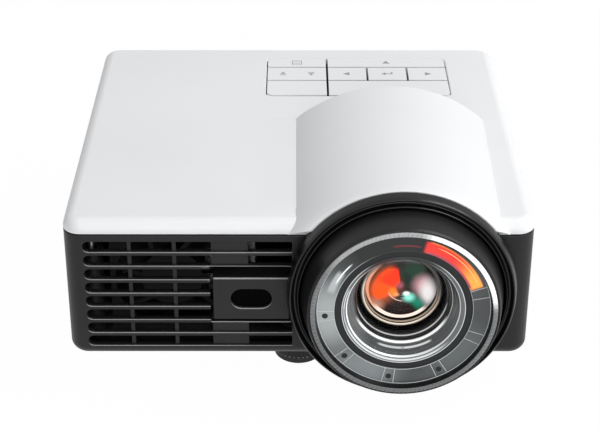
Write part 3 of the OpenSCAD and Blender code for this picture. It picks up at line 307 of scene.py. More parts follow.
def turned(profile: Sequence[Flat], centre: Flat, segments: int = 160, plane: Plane = Plane.UPRIGHT) -> Draft:
    """A piece turned about an axis, which runs to the rear where nothing else is said.

    Args:
        profile: Closed profile of radius and level.
        centre: Place of the axis in the plane.
        segments: Number of steps round the axis.
        plane: Plane that the axis stands square to.

    Returns:
        The piece's draft.
    """
    rings = []
    for i in range(segments):
        turn = math.tau * i / segments
        across, along = math.cos(turn), math.sin(turn)
        spots = [((centre[0] + r * across, centre[1] + r * along), level) for r, level in profile]
        rings.append([plane.place(*spot) for spot in spots])
    return Draft().skin(rings, looped=True)


def upright(profile: Sequence[Flat], centre: Flat, segments: int = 96) -> Draft:
    """A piece turned about an upright axis, from a profile of radius and z."""
    return turned(profile, centre, segments, Plane.LEVEL)


class Cut(Enum):
    """What a tool does to a body."""

    AWAY = "DIFFERENCE"
    ON = "UNION"
    WITHIN = "INTERSECT"


def settle(piece: Piece) -> Piece:
    """Turns a piece's modifiers into a plain mesh and removes them.

    Args:
        piece: The piece.

    Returns:
        The piece.
    """
    bpy.context.view_layer.update()
    plain = bpy.data.meshes.new_from_object(piece.evaluated_get(bpy.context.evaluated_depsgraph_get()))
    plain.name = piece.name
    old = piece.data
    piece.modifiers.clear()
    piece.data = plain
    bpy.data.meshes.remove(old)
    return piece


def carve(body: Piece, tools: Sequence[Piece], cut: Cut = Cut.AWAY) -> Piece:
    """Cuts, joins or intersects a body with tools, which are used up.

    Args:
        body: The mesh that is worked on.
        tools: Closed meshes.
        cut: What the tools do.

    Returns:
        The body, with a plain mesh.
    """
    for tool in tools:
        step = body.modifiers.new("cut", "BOOLEAN")
        step.operation = cut.value
        step.solver = "EXACT"
        step.object = tool
    settle(body)
    tidy_mesh(body.data)
    for tool in tools:
        use_up(tool)
    return body


def join(name: str, parts: Sequence[Piece]) -> Piece:
    """Joins separate meshes into one piece.

    Args:
        name: Name of the joined piece.
        parts: The meshes, which are used up.

    Returns:
        The joined piece.
    """
    work = bmesh.new()
    for part in parts:
        work.from_mesh(part.data)
        use_up(part)
    mesh = bpy.data.meshes.new(name)
    work.to_mesh(mesh)
    work.free()
    return stand(name, mesh)


def polish(piece: Piece, edge: float = 0.0, angle: float = 32.0) -> Piece:
    """Rounds a piece's sharp edges a little and shades it as a moulding.

    Args:
        piece: The piece.
        edge: Radius of the rounding, in millimetres, or 0 for none.
        angle: Edges bent more than this many degrees stay sharp.

    Returns:
        The piece, with a plain mesh.
    """
    if edge > 0:
        bevel = piece.modifiers.new("edges", "BEVEL")
        bevel.width = edge * MM
        bevel.segments = 2
        bevel.limit_method = "ANGLE"
        bevel.angle_limit = math.radians(angle)
        bevel.use_clamp_overlap = True
        settle(piece)
    piece.data.shade_smooth()
    piece.data.set_sharp_from_angle(angle=math.radians(angle))
    weigh = piece.modifiers.new("weigh", "WEIGHTED_NORMAL")
    weigh.keep_sharp = True
    return settle(piece)


def refined(node: str, name: str, edge: float) -> Piece:
    """A copy of a CAD node with merged faces and softly rounded edges.

    Args:
        node: Name of the CAD node.
        name: Name of the new piece.
        edge: Radius of the rounding, in millimetres, or 0 for none.

    Returns:
        The new piece.
    """
    mesh = bpy.data.objects[node].data.copy()
    tidy_mesh(mesh, from_cad=True)
    mesh.materials.clear()
    return polish(stand(name, mesh), edge)


# ---- Node trees ----


class Net:
    """A node tree in the making."""

    FIRST_COLOUR, SECOND_COLOUR, MIXED_COLOUR = 6, 7, 2

    def __init__(self, tree: Tree) -> None:
        """Takes up a tree."""
        self.tree = tree

    def feed(self, node: Node, values: dict[str | int, Feed]) -> Node:
        """Feeds the inputs of a node.

        Args:
            node: The node.
            values: A socket or a value for each input, by its number, or by its name with an
                underscore for a space. A colour of three numbers is given full cover.

        Returns:
            The node.
        """
        for label, value in values.items():
            socket = node.inputs[label.replace("_", " ") if isinstance(label, str) else label]
            if isinstance(value, Socket):
                self.tree.links.new(value, socket)
            elif socket.type == "RGBA" and len(value) == 3:
                socket.default_value = (*value, 1.0)
            else:
                socket.default_value = value
        return node

    def node(self, kind: str, *values: Feed, **named: Feed | str) -> Node:
        """Adds a node.

        Args:
            kind: Its kind.
            *values: Sockets or values for its first inputs.
            **named: A socket or a value for each input whose name is given, with a capital; a
                word in small letters is a property of the node.

        Returns:
            The node.
        """
        made = self.tree.nodes.new(kind)
        for label in [word for word in named if word.islower()]:
            setattr(made, label, named.pop(label))
        return self.feed(made, {**dict(enumerate(values)), **named})

    def math(self, operation: str, *values: Feed, clamp: bool = False) -> Socket:
        """The result of a sum on sockets or numbers."""
        return self.node("ShaderNodeMath", *values, operation=operation, use_clamp=clamp).outputs[0]

    def vector(self, operation: str, *values: Feed) -> Socket:
        """The result of a sum on vectors, a number for a length or a dot product."""
        made = self.node("ShaderNodeVectorMath", *values, operation=operation)
        return made.outputs["Value" if operation in ("LENGTH", "DOT_PRODUCT") else "Vector"]

    def mix(self, share: Feed, first: Feed, second: Feed) -> Socket:
        """Mixes two colours.

        Args:
            share: Share of the second one.
            first: The first colour.
            second: The second colour.

        Returns:
            The mixed colour.
        """
        made = self.node("ShaderNodeMix", data_type="RGBA", Factor=share)
        self.feed(made, {self.FIRST_COLOUR: first, self.SECOND_COLOUR: second})
        return made.outputs[self.MIXED_COLOUR]

    def step(self, value: Feed, low: Feed, high: Feed, kind: str = "SMOOTHSTEP") -> Socket:
        """A step from 0 to 1 of a value between two levels.

        Args:
            value: The value.
            low: Level that gives 0.
            high: Level that gives 1.
            kind: How it rises.

        Returns:
            The step's result.
        """
        levels = {"Value": value, "From_Min": low, "From_Max": high}
        return self.node("ShaderNodeMapRange", interpolation_type=kind, **levels).outputs[0]

    def noise(self, scale: Feed, detail: float) -> Socket:
        """A noise over the piece's own coordinates, by its scale and its number of octaves."""
        return self.node("ShaderNodeTexNoise", Vector=self.here(), Scale=scale, Detail=detail).outputs[0]

    def here(self) -> Socket:
        """The shaded point in the piece's own coordinates."""
        return self.node("ShaderNodeTexCoord").outputs["Object"]

    def normal(self) -> Socket:
        """The normal of the shaded point."""
        return self.node("ShaderNodeNewGeometry").outputs["Normal"]


class Group(Net):
    """A node group in the making, with named inputs and outputs."""

    def __init__(self, name: str, inputs: Names, outputs: Names, kind: str = "ShaderNodeTree") -> None:
        """Opens the group.

        Args:
            name: Name of the group.
            inputs: Names of its inputs, by their kind.
            outputs: Names of its outputs, by their kind.
            kind: Kind of its tree.
        """
        super().__init__(bpy.data.node_groups.new(name, kind))
        self.sockets: dict[str, str] = {}
        face = self.tree.interface
        for way, wanted in (("OUTPUT", outputs), ("INPUT", inputs)):
            for sort, labels in wanted.items():
                for label in labels:
                    socket = face.new_socket(label, in_out=way, socket_type=f"NodeSocket{sort}")
                    self.sockets[label] = socket.identifier
        self.source = self.node("NodeGroupInput").outputs
        self.result = self.node("NodeGroupOutput")

    def give(self, **results: Feed) -> Tree:
        """Feeds the group's outputs and hands over its tree."""
        self.feed(self.result, results)
        return self.tree


# ---- Patterns of repeated pieces ----


class Repeat(Group):
    """A geometry tree that stands copies of a mesh on points and gives them a finish."""

    def __init__(self, name: str, inputs: Names) -> None:
        """Opens the tree.

        Args:
            name: Name of the tree.
            inputs: Names of its own inputs, by their kind.
        """
        given = {"Geometry": ["Geometry"], **inputs, "Material": ["Finish"]}
        super().__init__(name, given, {"Geometry": ["Geometry"]}, "GeometryNodeTree")

    def copies(self, points: Feed, model: Feed, turn: Feed) -> None:
        """Ends the tree: copies on points, made real and dressed.

        Args:
            points: The points.
            model: The mesh that is copied.
            turn: How each copy is turned.
        """
        place = self.node("GeometryNodeInstanceOnPoints", Points=points, Instance=model, Rotation=turn)
        real = self.node("GeometryNodeRealizeInstances", place.outputs[0])
        dress = self.node("GeometryNodeSetMaterial", Geometry=real.outputs[0], Material=self.source["Finish"])
        self.give(Geometry=dress.outputs[0])

    def run(self, piece: Piece, **values: object) -> Piece:
        """Runs the tree on a piece and leaves a plain mesh.

        Args:
            piece: The piece.
            **values: Value of each input, with an underscore for a space; None leaves it as it is.

        Returns:
            The piece.
        """
        repeat = piece.modifiers.new(self.tree.name, "NODES")
        repeat.node_group = self.tree
        for label, value in values.items():
            if value is not None:
                repeat[self.sockets[label.replace("_", " ")]] = value
        return settle(piece)


class Pattern(Repeat):
    """A tree that repeats a mesh in even steps along a line and round a point."""

    def __init__(self) -> None:
        """Builds the tree."""
        vectors = ["Start", "Step", "First turn", "Turn step"]
        super().__init__("even_steps", {"Int": ["Count"], "Vector": vectors})
        start, step = self.source["Start"], self.source["Step"]
        line = self.node("GeometryNodeMeshLine", mode="OFFSET", Start_Location=start, Offset=step)
        self.feed(line, {"Count": self.source["Count"]})
        index = self.node("GeometryNodeInputIndex").outputs[0]
        turn = self.vector("MULTIPLY_ADD", index, self.source["Turn step"], self.source["First turn"])
        self.copies(line.outputs[0], self.source["Geometry"], turn)

    def apply(
        self,
        piece: Piece,
        count: int,
        step: Point = (0, 0, 0),
        start: Vector | Point = (0, 0, 0),
        turn: Point = (0, 0, 0),
        first: Point = (0, 0, 0),
        finish: Material | None = None,
    ) -> Piece:
        """Repeats a piece and leaves a plain mesh.

        Args:
            piece: The mesh that is repeated.
            count: Number of copies.
            step: Millimetres from one copy to the next.
            start: Place of the first copy's own origin, in metres.
            turn: Degrees that each copy is turned further.
            first: Degrees that the first copy is turned.
            finish: Material of the copies, where they aren't a tool.

        Returns:
            The piece, with its copies.
        """
        return self.run(
            piece, Count=count, Start=tuple(start), Step=tuple(v * MM for v in step),
            First_turn=tuple(math.radians(v) for v in first),
            Turn_step=tuple(math.radians(v) for v in turn), Finish=finish,
        )


class Scatter(Repeat):
    """A tree that stands a mesh on each of a piece's points, each turned by chance about z."""

    def __init__(self) -> None:
        """Builds the tree."""
        super().__init__("screws_on_spots", {"Object": ["Pattern"], "Int": ["Seed"]})
        model = self.node("GeometryNodeObjectInfo", Object=self.source["Pattern"])
        least, most = (0, 0, 0), (0, 0, math.tau)
        seed = self.source["Seed"]
        chance = self.node("FunctionNodeRandomValue", least, most, Seed=seed, data_type="FLOAT_VECTOR")
        self.copies(self.source["Geometry"], model.outputs["Geometry"], chance.outputs[0])

    def apply(
        self, name: str, spots: Sequence[Vector], model: Piece, seed: int, finish: Material
    ) -> Piece:
        """Stands copies of a model on spots.

        Args:
            name: Name of the new piece.
            spots: The places, in metres.
            model: Mesh about its own origin, which is used up.
            seed: Fixed seed of the turns.
            finish: Material of the copies.

        Returns:
            The new piece, with a plain mesh.
        """
        mesh = bpy.data.meshes.new(name)
        mesh.from_pydata(list(spots), [], [])
        made = self.run(stand(name, mesh), Pattern=model, Seed=seed, Finish=finish)
        use_up(model)
        return made


# ---- Finishes ----


class Effects:
    """Shader node groups that several finishes share."""

    COLOUR = {"Color": ["Colour"]}

    def __init__(self) -> None:
        """Builds the groups."""
        self.grain = self._grain()
        self.shades = self._shades()
        self.dust = self._dust()
        self.edge_highlight = self._edge_highlight()
        self.spot = self._spot()
        self.sweep = self._sweep()

    def _grain(self) -> Tree:
        """Fine grain of a moulded or blasted face: a height and a roughness.

        Returns:
            The group's tree.
        """
        inputs = {"Float": ["Scale", "Roughness", "Spread"]}
        net = Group("moulded_grain", inputs, {"Float": ["Height", "Roughness"]})
        scale, mean, spread = (net.source[label] for label in ("Scale", "Roughness", "Spread"))
        cells = net.node("ShaderNodeTexVoronoi", Vector=net.here(), Scale=scale)
        height = net.math("MULTIPLY", net.noise(scale, 3), cells.outputs["Distance"])
        broad = net.math("SUBTRACT", net.noise(60, 4), 0.5)
        return net.give(Height=height, Roughness=net.math("MULTIPLY_ADD", broad, spread, mean))

    def _shades(self) -> Tree:
        """Slow drift of a colour towards a second one.

        Returns:
            The group's tree.
        """
        net = Group("uneven_shade", {"Color": ["Colour", "Second"], "Float": ["Scale"]}, self.COLOUR)
        drift = net.step(net.noise(net.source["Scale"], 5), 0.3, 0.7, "LINEAR")
        return net.give(Colour=net.mix(drift, net.source["Colour"], net.source["Second"]))

    def _edge_highlight(self) -> Tree:
        """Painted edge highlight: paler colour on the narrow edges that slope up to the front, below a level.

        Returns:
            The group's tree.
        """
        net = Group("rubbed_edge", {"Color": ["Colour", "Edge"], "Float": ["Level"]}, self.COLOUR)
        # The highlight is painted where the normal faces up and to the front, as if lit from above.
        up_front = (0, -math.sqrt(0.5), math.sqrt(0.5))
        slope = net.step(net.vector("DOT_PRODUCT", net.normal(), up_front), 0.72, 0.92, "LINEAR")
        height = net.node("ShaderNodeSeparateXYZ", net.here()).outputs["Z"]
        share = net.math("MULTIPLY", net.math("LESS_THAN", height, net.source["Level"]), slope)
        return net.give(Colour=net.mix(share, net.source["Colour"], net.source["Edge"]))

    def _dust(self) -> Tree:
        """Dust that settles on faces that look up.

        Returns:
            The group's tree.
        """
        net = Group("settled_dust", {"Color": ["Colour", "Dust"], "Float": ["Amount"]}, self.COLOUR)
        up = net.node("ShaderNodeSeparateXYZ", net.normal()).outputs["Z"]
        specks = net.math("MULTIPLY", up, net.noise(900, 6), clamp=True)
        share = net.math("MULTIPLY", specks, net.source["Amount"])
        return net.give(Colour=net.mix(share, net.source["Colour"], net.source["Dust"]))

    @staticmethod
    def _laid(net: Group, share: Feed) -> Tree:
        """Lays the input Colour over Under and closes the group.

        Args:
            net: The group.
            share: Share that is covered at full strength.

        Returns:
            The group's tree.
        """
        weight = net.math("MULTIPLY", share, net.source["Strength"])
        return net.give(Colour=net.mix(weight, net.source["Under"], net.source["Colour"]))

    def _spot(self) -> Tree:
        """A soft oval spot of colour at a place, over what is under it; the lenses' painted reflections and
        shade are laid with it.

        Returns:
            The group's tree.
        """
        inputs = {
            "Color": ["Under", "Colour"],
            "Vector": ["Place", "Across", "Up"],
            "Float": ["Core", "Strength"],
        }
        net = Group("soft_spot", inputs, self.COLOUR)
        away = net.vector("SUBTRACT", net.here(), net.source["Place"])
        parts = [net.vector("DOT_PRODUCT", away, net.source[label]) for label in ("Across", "Up")]
        length = net.vector("LENGTH", net.node("ShaderNodeCombineXYZ", *parts).outputs[0])
        return self._laid(net, net.step(length, 1.0, net.source["Core"]))

    def _sweep(self) -> Tree:
        """A soft arc of colour about a place in an upright plane, over what is under it; the lenses' painted
        reflections, highlights and shade are laid with it.

        Returns:
            The group's tree.
        """
        inputs = {
            "Color": ["Under", "Colour"],
            "Vector": ["Place", "Middle"],
            "Float": ["Radius", "Width", "Core", "End", "Full", "Strength"],
        }
        net = Group("soft_arc", inputs, self.COLOUR)
        flat = net.vector("MULTIPLY", net.vector("SUBTRACT", net.here(), net.source["Place"]), (1, 0, 1))
        beyond = net.math("SUBTRACT", net.vector("LENGTH", flat), net.source["Radius"])
        widths = net.math("ABSOLUTE", net.math("DIVIDE", beyond, net.source["Width"]))
        band = net.step(widths, 1.0, net.source["Core"])
        aim = net.vector("DOT_PRODUCT", net.vector("NORMALIZE", flat), net.source["Middle"])
        window = net.step(aim, net.source["End"], net.source["Full"])
        return self._laid(net, net.math("MULTIPLY", band, window))


class Shade(Net):
    """A material in the making."""

    def __init__(self, name: str, effects: Effects) -> None:
        """Opens a material with one Principled shader.

        Args:
            name: Name of the material.
            effects: The shared effects.
        """
        self.material = bpy.data.materials.new(name)
        self.material.use_nodes = True
        super().__init__(self.material.node_tree)
        self.shader = self.tree.nodes["Principled BSDF"]
        self.effects = effects

    def set(self, **values: Feed) -> "Shade":
        """Feeds the shader's inputs; an underscore stands for a space."""
        self.feed(self.shader, values)
        return self

    def lay(self, effect: Tree, **values: Feed) -> Socket:
        """The colour that an effect makes of its inputs."""
        return self.node("ShaderNodeGroup", node_tree=effect, **values).outputs["Colour"]

    def tone(self, colour: Colour, second: Colour, scale: float) -> Socket:
        """A colour that drifts to a second one, by the drift's scale."""
        return self.lay(self.effects.shades, Colour=colour, Second=second, Scale=scale)

    def face(
        self, colour: Feed, grain: float, roughness: float, spread: float, depth: float = 0.0
    ) -> Material:
        """Gives the shader its colour and its grain.

        Args:
            colour: The colour.
            grain: Grains per metre.
            roughness: Mean roughness.
            spread: Change of roughness over the surface.
            depth: Depth of the grain in millimetres, or 0 for none.

        Returns:
            The material.
        """
        values = {"Scale": grain, "Roughness": roughness, "Spread": spread}
        fine = self.node("ShaderNodeGroup", node_tree=self.effects.grain, **values).outputs
        self.set(Base_Color=colour, Roughness=fine["Roughness"])
        if depth:
            bump = self.node("ShaderNodeBump", Distance=depth * MM, Height=fine["Height"])
            self.set(Normal=bump.outputs[0])
        return self.material


@dataclass(frozen=True)
class Moulding:
    """Finish of a moulded plastic.

    Attributes:
        name: Name of the material.
        colour: Main colour, linear.
        second: Colour that the main one drifts to.
        roughness: Mean roughness.
        spread: Change of roughness over the surface.
        grain: Grains per metre.
        depth: Depth of the grain in millimetres.
        dust: Share of dust on faces that look up.
        coat: Weight of a clear gloss.
        shine: Specular level.
        edge: Tone of the painted highlight on edges that slope up to the front, or 0 for none.
        highlight_level: Height in metres below which the edge highlight is painted.
    """

    name: str
    colour: Colour
    second: Colour
    roughness: float = 0.4
    spread: float = 0.08
    grain: float = 4000.0
    depth: float = 0.01
    dust: float = 0.0
    coat: float = 0.0
    shine: float = 0.5
    edge: float = 0.0
    highlight_level: float = 0.042

    def build(self, shop: "Workshop") -> Material:
        """Makes the material.

        Args:
            shop: The workshop.

        Returns:
            The material.
        """
        shade = Shade(self.name, shop.effects).set(Specular_IOR_Level=self.shine)
        if self.coat:
            shade.set(Coat_Weight=self.coat, Coat_Roughness=0.06)
        colour = shade.tone(self.colour, self.second, 25.0)
        # Painted highlight on the edges that slope up to the front.
        if self.edge:
            edge = (self.edge,) * 3
            colour = shade.lay(shop.effects.edge_highlight, Colour=colour, Edge=edge, Level=self.highlight_level)
        if self.dust:
            pale = tuple(0.5 * v + 0.3 for v in self.colour)
            colour = shade.lay(shop.effects.dust, Colour=colour, Dust=pale, Amount=self.dust)
        return shade.face(colour, self.grain, self.roughness, self.spread, self.depth)


@dataclass(frozen=True)
class Metal:
    """Finish of a bare or plated metal; its values are those of Moulding."""

    name: str
    colour: Colour
    second: Colour
    roughness: float = 0.3
    grain: float = 3000.0
    depth: float = 0.004

    def build(self, shop: "Workshop") -> Material:
        """Makes the material.

        Args:
            shop: The workshop.

        Returns:
            The material.
        """
        shade = Shade(self.name, shop.effects).set(Metallic=1.0)
        colour = shade.tone(self.colour, self.second, 40.0)
        return shade.face(colour, self.grain, self.roughness, 0.15, self.depth)


@dataclass(frozen=True)
class Glow:
    """A soft oval spot on a lens piece; bright ones are painted reflections, dark ones painted shade.

    Attributes:
        x: Place across the lens, in millimetres from its axis.
        z: Place above the axis, in millimetres.
        wide: Half of its width where it has faded out.
        high: Half of its height there.
        colour: Its colour, linear.
        core: Share of the spot that is full.
        turn: Degrees that it is turned.
        strength: Share of the colour that covers what is under it.
    """

    x: float
    z: float
    wide: float
    high: float
    colour: Colour
    core: float = 0.2
    turn: float = 0.0
    strength: float = 1.0

    def lay(self, shade: Shade, under: Feed, centre: Vector) -> Socket:
        """Lays the spot over a colour.

        Args:
            shade: The material in the making.
            under: The colour.
            centre: Place of the lens axis, in metres.

        Returns:
            The new colour.
        """
        turn = math.radians(self.turn)
        across, up = self.wide * MM, self.high * MM
        return shade.lay(
            shade.effects.spot, Under=under, Colour=self.colour,
            Place=tuple(centre + Vector((self.x, 0, self.z)) * MM),
            Across=(math.cos(turn) / across, 0, math.sin(turn) / across),
            Up=(-math.sin(turn) / up, 0, math.cos(turn) / up), Core=self.core,
            Strength=self.strength,
        )


@dataclass(frozen=True)
class Sweep:
    """A soft arc on a lens piece; bright ones are painted reflections and highlights, dark ones painted
    shade.

    Attributes:
        radius: Its radius, in millimetres.
        width: Half of its width where it has faded out.
        start: First angle in degrees, counter-clockwise from +x.
        end: Last angle in degrees.
        colour: Its colour, linear.
        core: Share of its width that is full.
        soft: Degrees over which its ends fade out.
        x: Place of its middle across the lens.
        z: Place of its middle above the axis.
    """

    radius: float
    width: float
    start: float
    end: float
    colour: Colour
    core: float = 0.3
    soft: float = 20.0
    x: float = 0.0
    z: float = 0.0

    def lay(self, shade: Shade, under: Feed, centre: Vector) -> Socket:
        """Lays the arc over a colour.

        Args:
            shade: The material in the making.
            under: The colour.
            centre: Place of the lens axis, in metres.

        Returns:
            The new colour.
        """
        middle = math.radians((self.start + self.end) / 2)
        half = (self.end - self.start) / 2
        return shade.lay(
            shade.effects.sweep, Under=under, Colour=self.colour,
            Place=tuple(centre + Vector((self.x, 0, self.z)) * MM),
            Middle=(math.cos(middle), 0, math.sin(middle)), Radius=self.radius * MM,
            Width=self.width * MM, Core=self.core,
            End=math.cos(math.radians(min(half + self.soft, 180))) - 0.001,
            Full=math.cos(math.radians(half)), Strength=1.0,
        )


@dataclass(frozen=True)
class Coated:
    """Finish of a coated lens or clear ring, with painted reflections of its surroundings, painted highlights
    and painted shade.

    Attributes:
        name: Name of the material.
        base: Colour under the marks, linear.
        marks: Painted spots and arcs of reflection, highlight and shade, from the lowest up.
        roughness: Roughness of the face.
        coat: Weight of the clear gloss.
        light: Share of the colour that the face gives off as light, so that its painted reflections glow.
        depth: Depth of the grain in millimetres.
        shine: Specular level.
    """

    name: str
    base: Colour
    marks: tuple[Glow | Sweep, ...]
    roughness: float = 0.12
    coat: float = 1.0
    light: float = 0.0
    depth: float = 0.001
    shine: float = 0.5

    def build(self, shop: "Workshop") -> Material:
        """Makes the material.

        Args:
            shop: The workshop, with the shared effects and the place of the lens axis.

        Returns:
            The material.
        """
        shade = Shade(self.name, shop.effects)
        shade.set(Coat_Weight=self.coat, Coat_Roughness=0.02, Specular_IOR_Level=self.shine)
        colour = shade.tone(self.base, tuple(v * 0.7 for v in self.base), 90.0)
        for mark in self.marks:
            colour = mark.lay(shade, colour, shop.lens_centre)
        # The painted reflections glow by emission.
        if self.light:
            shade.set(Emission_Color=colour, Emission_Strength=self.light)
        return shade.face(colour, 5200.0, self.roughness, 0.06, self.depth)


@dataclass(frozen=True)
class Film:
    """Finish of thin coated glass, which shows only where it is seen aslant.

    Attributes:
        name: Name of the material.
        tint: Colour of the glass, linear.
        least: Cover where it is seen straight on.
        most: Cover that is added where it is seen aslant.
        roughness: Roughness of its faces.
        index: Index of refraction.
    """

    name: str
    tint: Colour
    least: float = 0.0
    most: float = 0.3
    roughness: float = 0.03
    index: float = 1.45

    def build(self, shop: "Workshop") -> Material:
        """Makes the material.

        Args:
            shop: The workshop.

        Returns:
            The material.
        """
        shade = Shade(self.name, shop.effects)
        slant = shade.node("ShaderNodeFresnel", IOR=self.index).outputs[0]
        cover = shade.math("MULTIPLY_ADD", slant, self.most, self.least, clamp=True)
        shade.set(Coat_Weight=1.0, Coat_Roughness=0.02, Alpha=cover)
        colour = shade.tone(self.tint, tuple(v * 0.9 for v in self.tint), 80.0)
        return shade.face(colour, 1500.0, self.roughness, 0.02)


@dataclass(frozen=True)
class Clear:
    """Finish of clear glass.

    Attributes:
        name: Name of the material.
        tint: Colour of the glass, linear.
        roughness: Roughness of its faces.
        index: Index of refraction.
    """

    name: str
    tint: Colour
    roughness: float = 0.02
    index: float = 1.46

    def build(self, shop: "Workshop") -> Material:
        """Makes the material.

        Args:
            shop: The workshop.

        Returns:
            The material.
        """
        shade = Shade(self.name, shop.effects).set(Transmission_Weight=1.0, IOR=self.index)
        colour = shade.tone(self.tint, tuple(v * 0.96 for v in self.tint), 80.0)
        return shade.face(colour, 1500.0, self.roughness, 0.02)


Recipe = Moulding | Metal | Coated | Film | Clear

COVER = Moulding(
    "cover_white", (0.78, 0.79, 0.80), (0.75, 0.76, 0.775),
    roughness=0.38, spread=0.05, grain=5200.0, depth=0.004, dust=0.03, shine=0.4,
)
KEY_WHITE = Moulding(
    "key_white", (0.78, 0.79, 0.80), (0.76, 0.77, 0.78),
    roughness=0.42, spread=0.05, grain=5200.0, depth=0.003, dust=0.03, shine=0.4,
)
# Charcoal case; edge=0.34 paints a highlight on its edges that slope up to the front.
CASE = Moulding(
    "case_charcoal", (0.015, 0.015, 0.0165), (0.01, 0.01, 0.0112),
    spread=0.1, grain=1500.0, depth=0.06, dust=0.02, shine=0.28, edge=0.34,
)
GLOSS = Moulding(
    "sensor_gloss", (0.001, 0.001, 0.0012), (0.0008, 0.0008, 0.001),
    roughness=0.2, spread=0.04, grain=900.0, depth=0.0005, shine=0.02,
)
SATIN = Moulding(
    "lens_satin", (0.004, 0.004, 0.0045), (0.003, 0.003, 0.0035),
    roughness=0.28, grain=4200.0, depth=0.006, shine=0.34,
)
CONE = Moulding("cone_satin", (0.005, 0.005, 0.0055), (0.004, 0.004, 0.0045), grain=4600.0, shine=0.3)
# Black plastic of the inner parts, darkened further as painted shade so that the inside reads dark.
INNER = Moulding(
    "inner_black", (0.004, 0.004, 0.0045), (0.003, 0.003, 0.0035),
    roughness=0.6, spread=0.1, grain=3000.0, shine=0.2,
)
RUBBER = Moulding(
    "rubber", (0.012, 0.012, 0.012), (0.018, 0.018, 0.018),
    roughness=0.8, spread=0.1, grain=2600.0, depth=0.03, dust=0.05,
)
SHELF = Moulding(
    "shelf_grey", (0.016, 0.017, 0.018), (0.012, 0.013, 0.014), roughness=0.5, grain=4600.0, shine=0.3
)
# Moulding marks on the flange; their pale colour is a painted glint.
BRIGHT_LINE = Moulding(
    "mark_line", (0.66, 0.68, 0.685), (0.52, 0.54, 0.545),
    roughness=0.3, spread=0.05, grain=1500.0, depth=0.0005,
)
INK = Moulding(
    "symbol_grey", (0.3, 0.305, 0.31), (0.27, 0.275, 0.28),
    roughness=0.55, spread=0.05, grain=5000.0, depth=0.001,
)
BOARD = Moulding(
    "board_green", (0.012, 0.06, 0.03), (0.01, 0.05, 0.024), spread=0.1, grain=1200.0, dust=0.1, coat=0.3
)
CHIP = Moulding(
    "chip_black", (0.02, 0.02, 0.022), (0.03, 0.03, 0.032), roughness=0.5, spread=0.1, grain=2200.0
)
GEAR = Moulding(
    "gear_ivory", (0.7, 0.68, 0.6), (0.62, 0.6, 0.52), roughness=0.35, grain=2400.0, depth=0.004
)
LED = Moulding("led_plate", (0.75, 0.72, 0.5), (0.6, 0.58, 0.4), grain=1600.0, depth=0.004)
SPEAKER = Moulding(
    "speaker_cone", (0.02, 0.02, 0.022), (0.04, 0.04, 0.042),
    roughness=0.7, spread=0.1, grain=1800.0, depth=0.03,
)
STEEL = Metal("steel", (0.6, 0.6, 0.61), (0.5, 0.5, 0.52))
PLATE = Metal("tin_plate", (0.66, 0.66, 0.65), (0.55, 0.55, 0.55), roughness=0.32)
BRASS = Metal("brass", (0.68, 0.5, 0.22), (0.58, 0.42, 0.18), roughness=0.32)
GOLD = Metal("gold_contact", (0.85, 0.62, 0.22), (0.75, 0.55, 0.2), roughness=0.25)
ALLOY = Metal("alloy", (0.62, 0.63, 0.64), (0.5, 0.51, 0.52), roughness=0.42)
COPPER = Metal("copper", (0.72, 0.36, 0.2), (0.55, 0.27, 0.16), roughness=0.35)
GLASS = Clear("rear_glass", (0.96, 0.98, 0.99))
BOWL = Film("front_glass", (0.012, 0.013, 0.014))


# ---- What the sub-assemblies share ----


@dataclass
class Body:
    """Outer sizes of the body, from the frame and the part's own values."""

    width: float = 112.0
    depth: float = 105.0
    top: float = 37.7
    parting: float = 33.9
    wall: float = 1.8
    corner: float = 4.5
    edge: float = 3.0
    seam: float = 0.25
    front_return: float = 8.0
    lens_x: float = 24.5
    lens_z: float = 19.9
    lip_reach: float = 3.0
    collar: float = 27.0
    collar_wall: float = 1.4

    @property
    def axis(self) -> Flat:
        """x and z of the lens axis."""
        return (self.lens_x, self.lens_z)

    @property
    def side(self) -> float:
        """Half of the width."""
        return self.width / 2


class Workshop:
    """What the sub-assemblies share: the seat, the effects, the patterns and the finishes."""

    def __init__(self, seat: Seat, body: Body) -> None:
        """Opens the workshop.

        Args:
            seat: Place of the housing's frame.
            body: Outer sizes of the body.
        """
        self.seat = seat
        self.lens_centre = seat.point((body.lens_x, 0, body.lens_z))
        self.effects = Effects()
        self.pattern = Pattern()
        self.scatter = Scatter()
        self.made: dict[str, Material] = {}

    def finish(self, recipe: Recipe) -> Material:
        """The material of a recipe, made once.

        Args:
            recipe: The recipe.

        Returns:
            Its material.
        """
        if recipe.name not in self.made:
            self.made[recipe.name] = recipe.build(self)
        return self.made[recipe.name]

    def fit(
        self, piece: Piece, recipe: Recipe, body: str, slot: str, nodes: Sequence[str] = ()
    ) -> Piece:
        """Dresses a piece and lets it ride on a body.

        Args:
            piece: The piece, in place.
            recipe: Recipe of its material.
            body: Name of the body that carries it.
            slot: Name of a material slot; not used.
            nodes: CAD nodes that it stands for.

        Returns:
            The piece.
        """
        piece.data.materials.clear()
        piece.data.materials.append(self.finish(recipe))
        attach(piece, body)
        if nodes:
            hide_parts(*nodes)
        LOG.info("%s: %d faces on %s", piece.name, len(piece.data.polygons), body)
        return piece


@dataclass
class SubAssembly:
    """Pieces that are built and dressed together.

    Attributes:
        shop: The workshop.
        body: Outer sizes of the body.
    """

    shop: Workshop
    body: Body = field(default_factory=Body)


# ---- Top cover ----


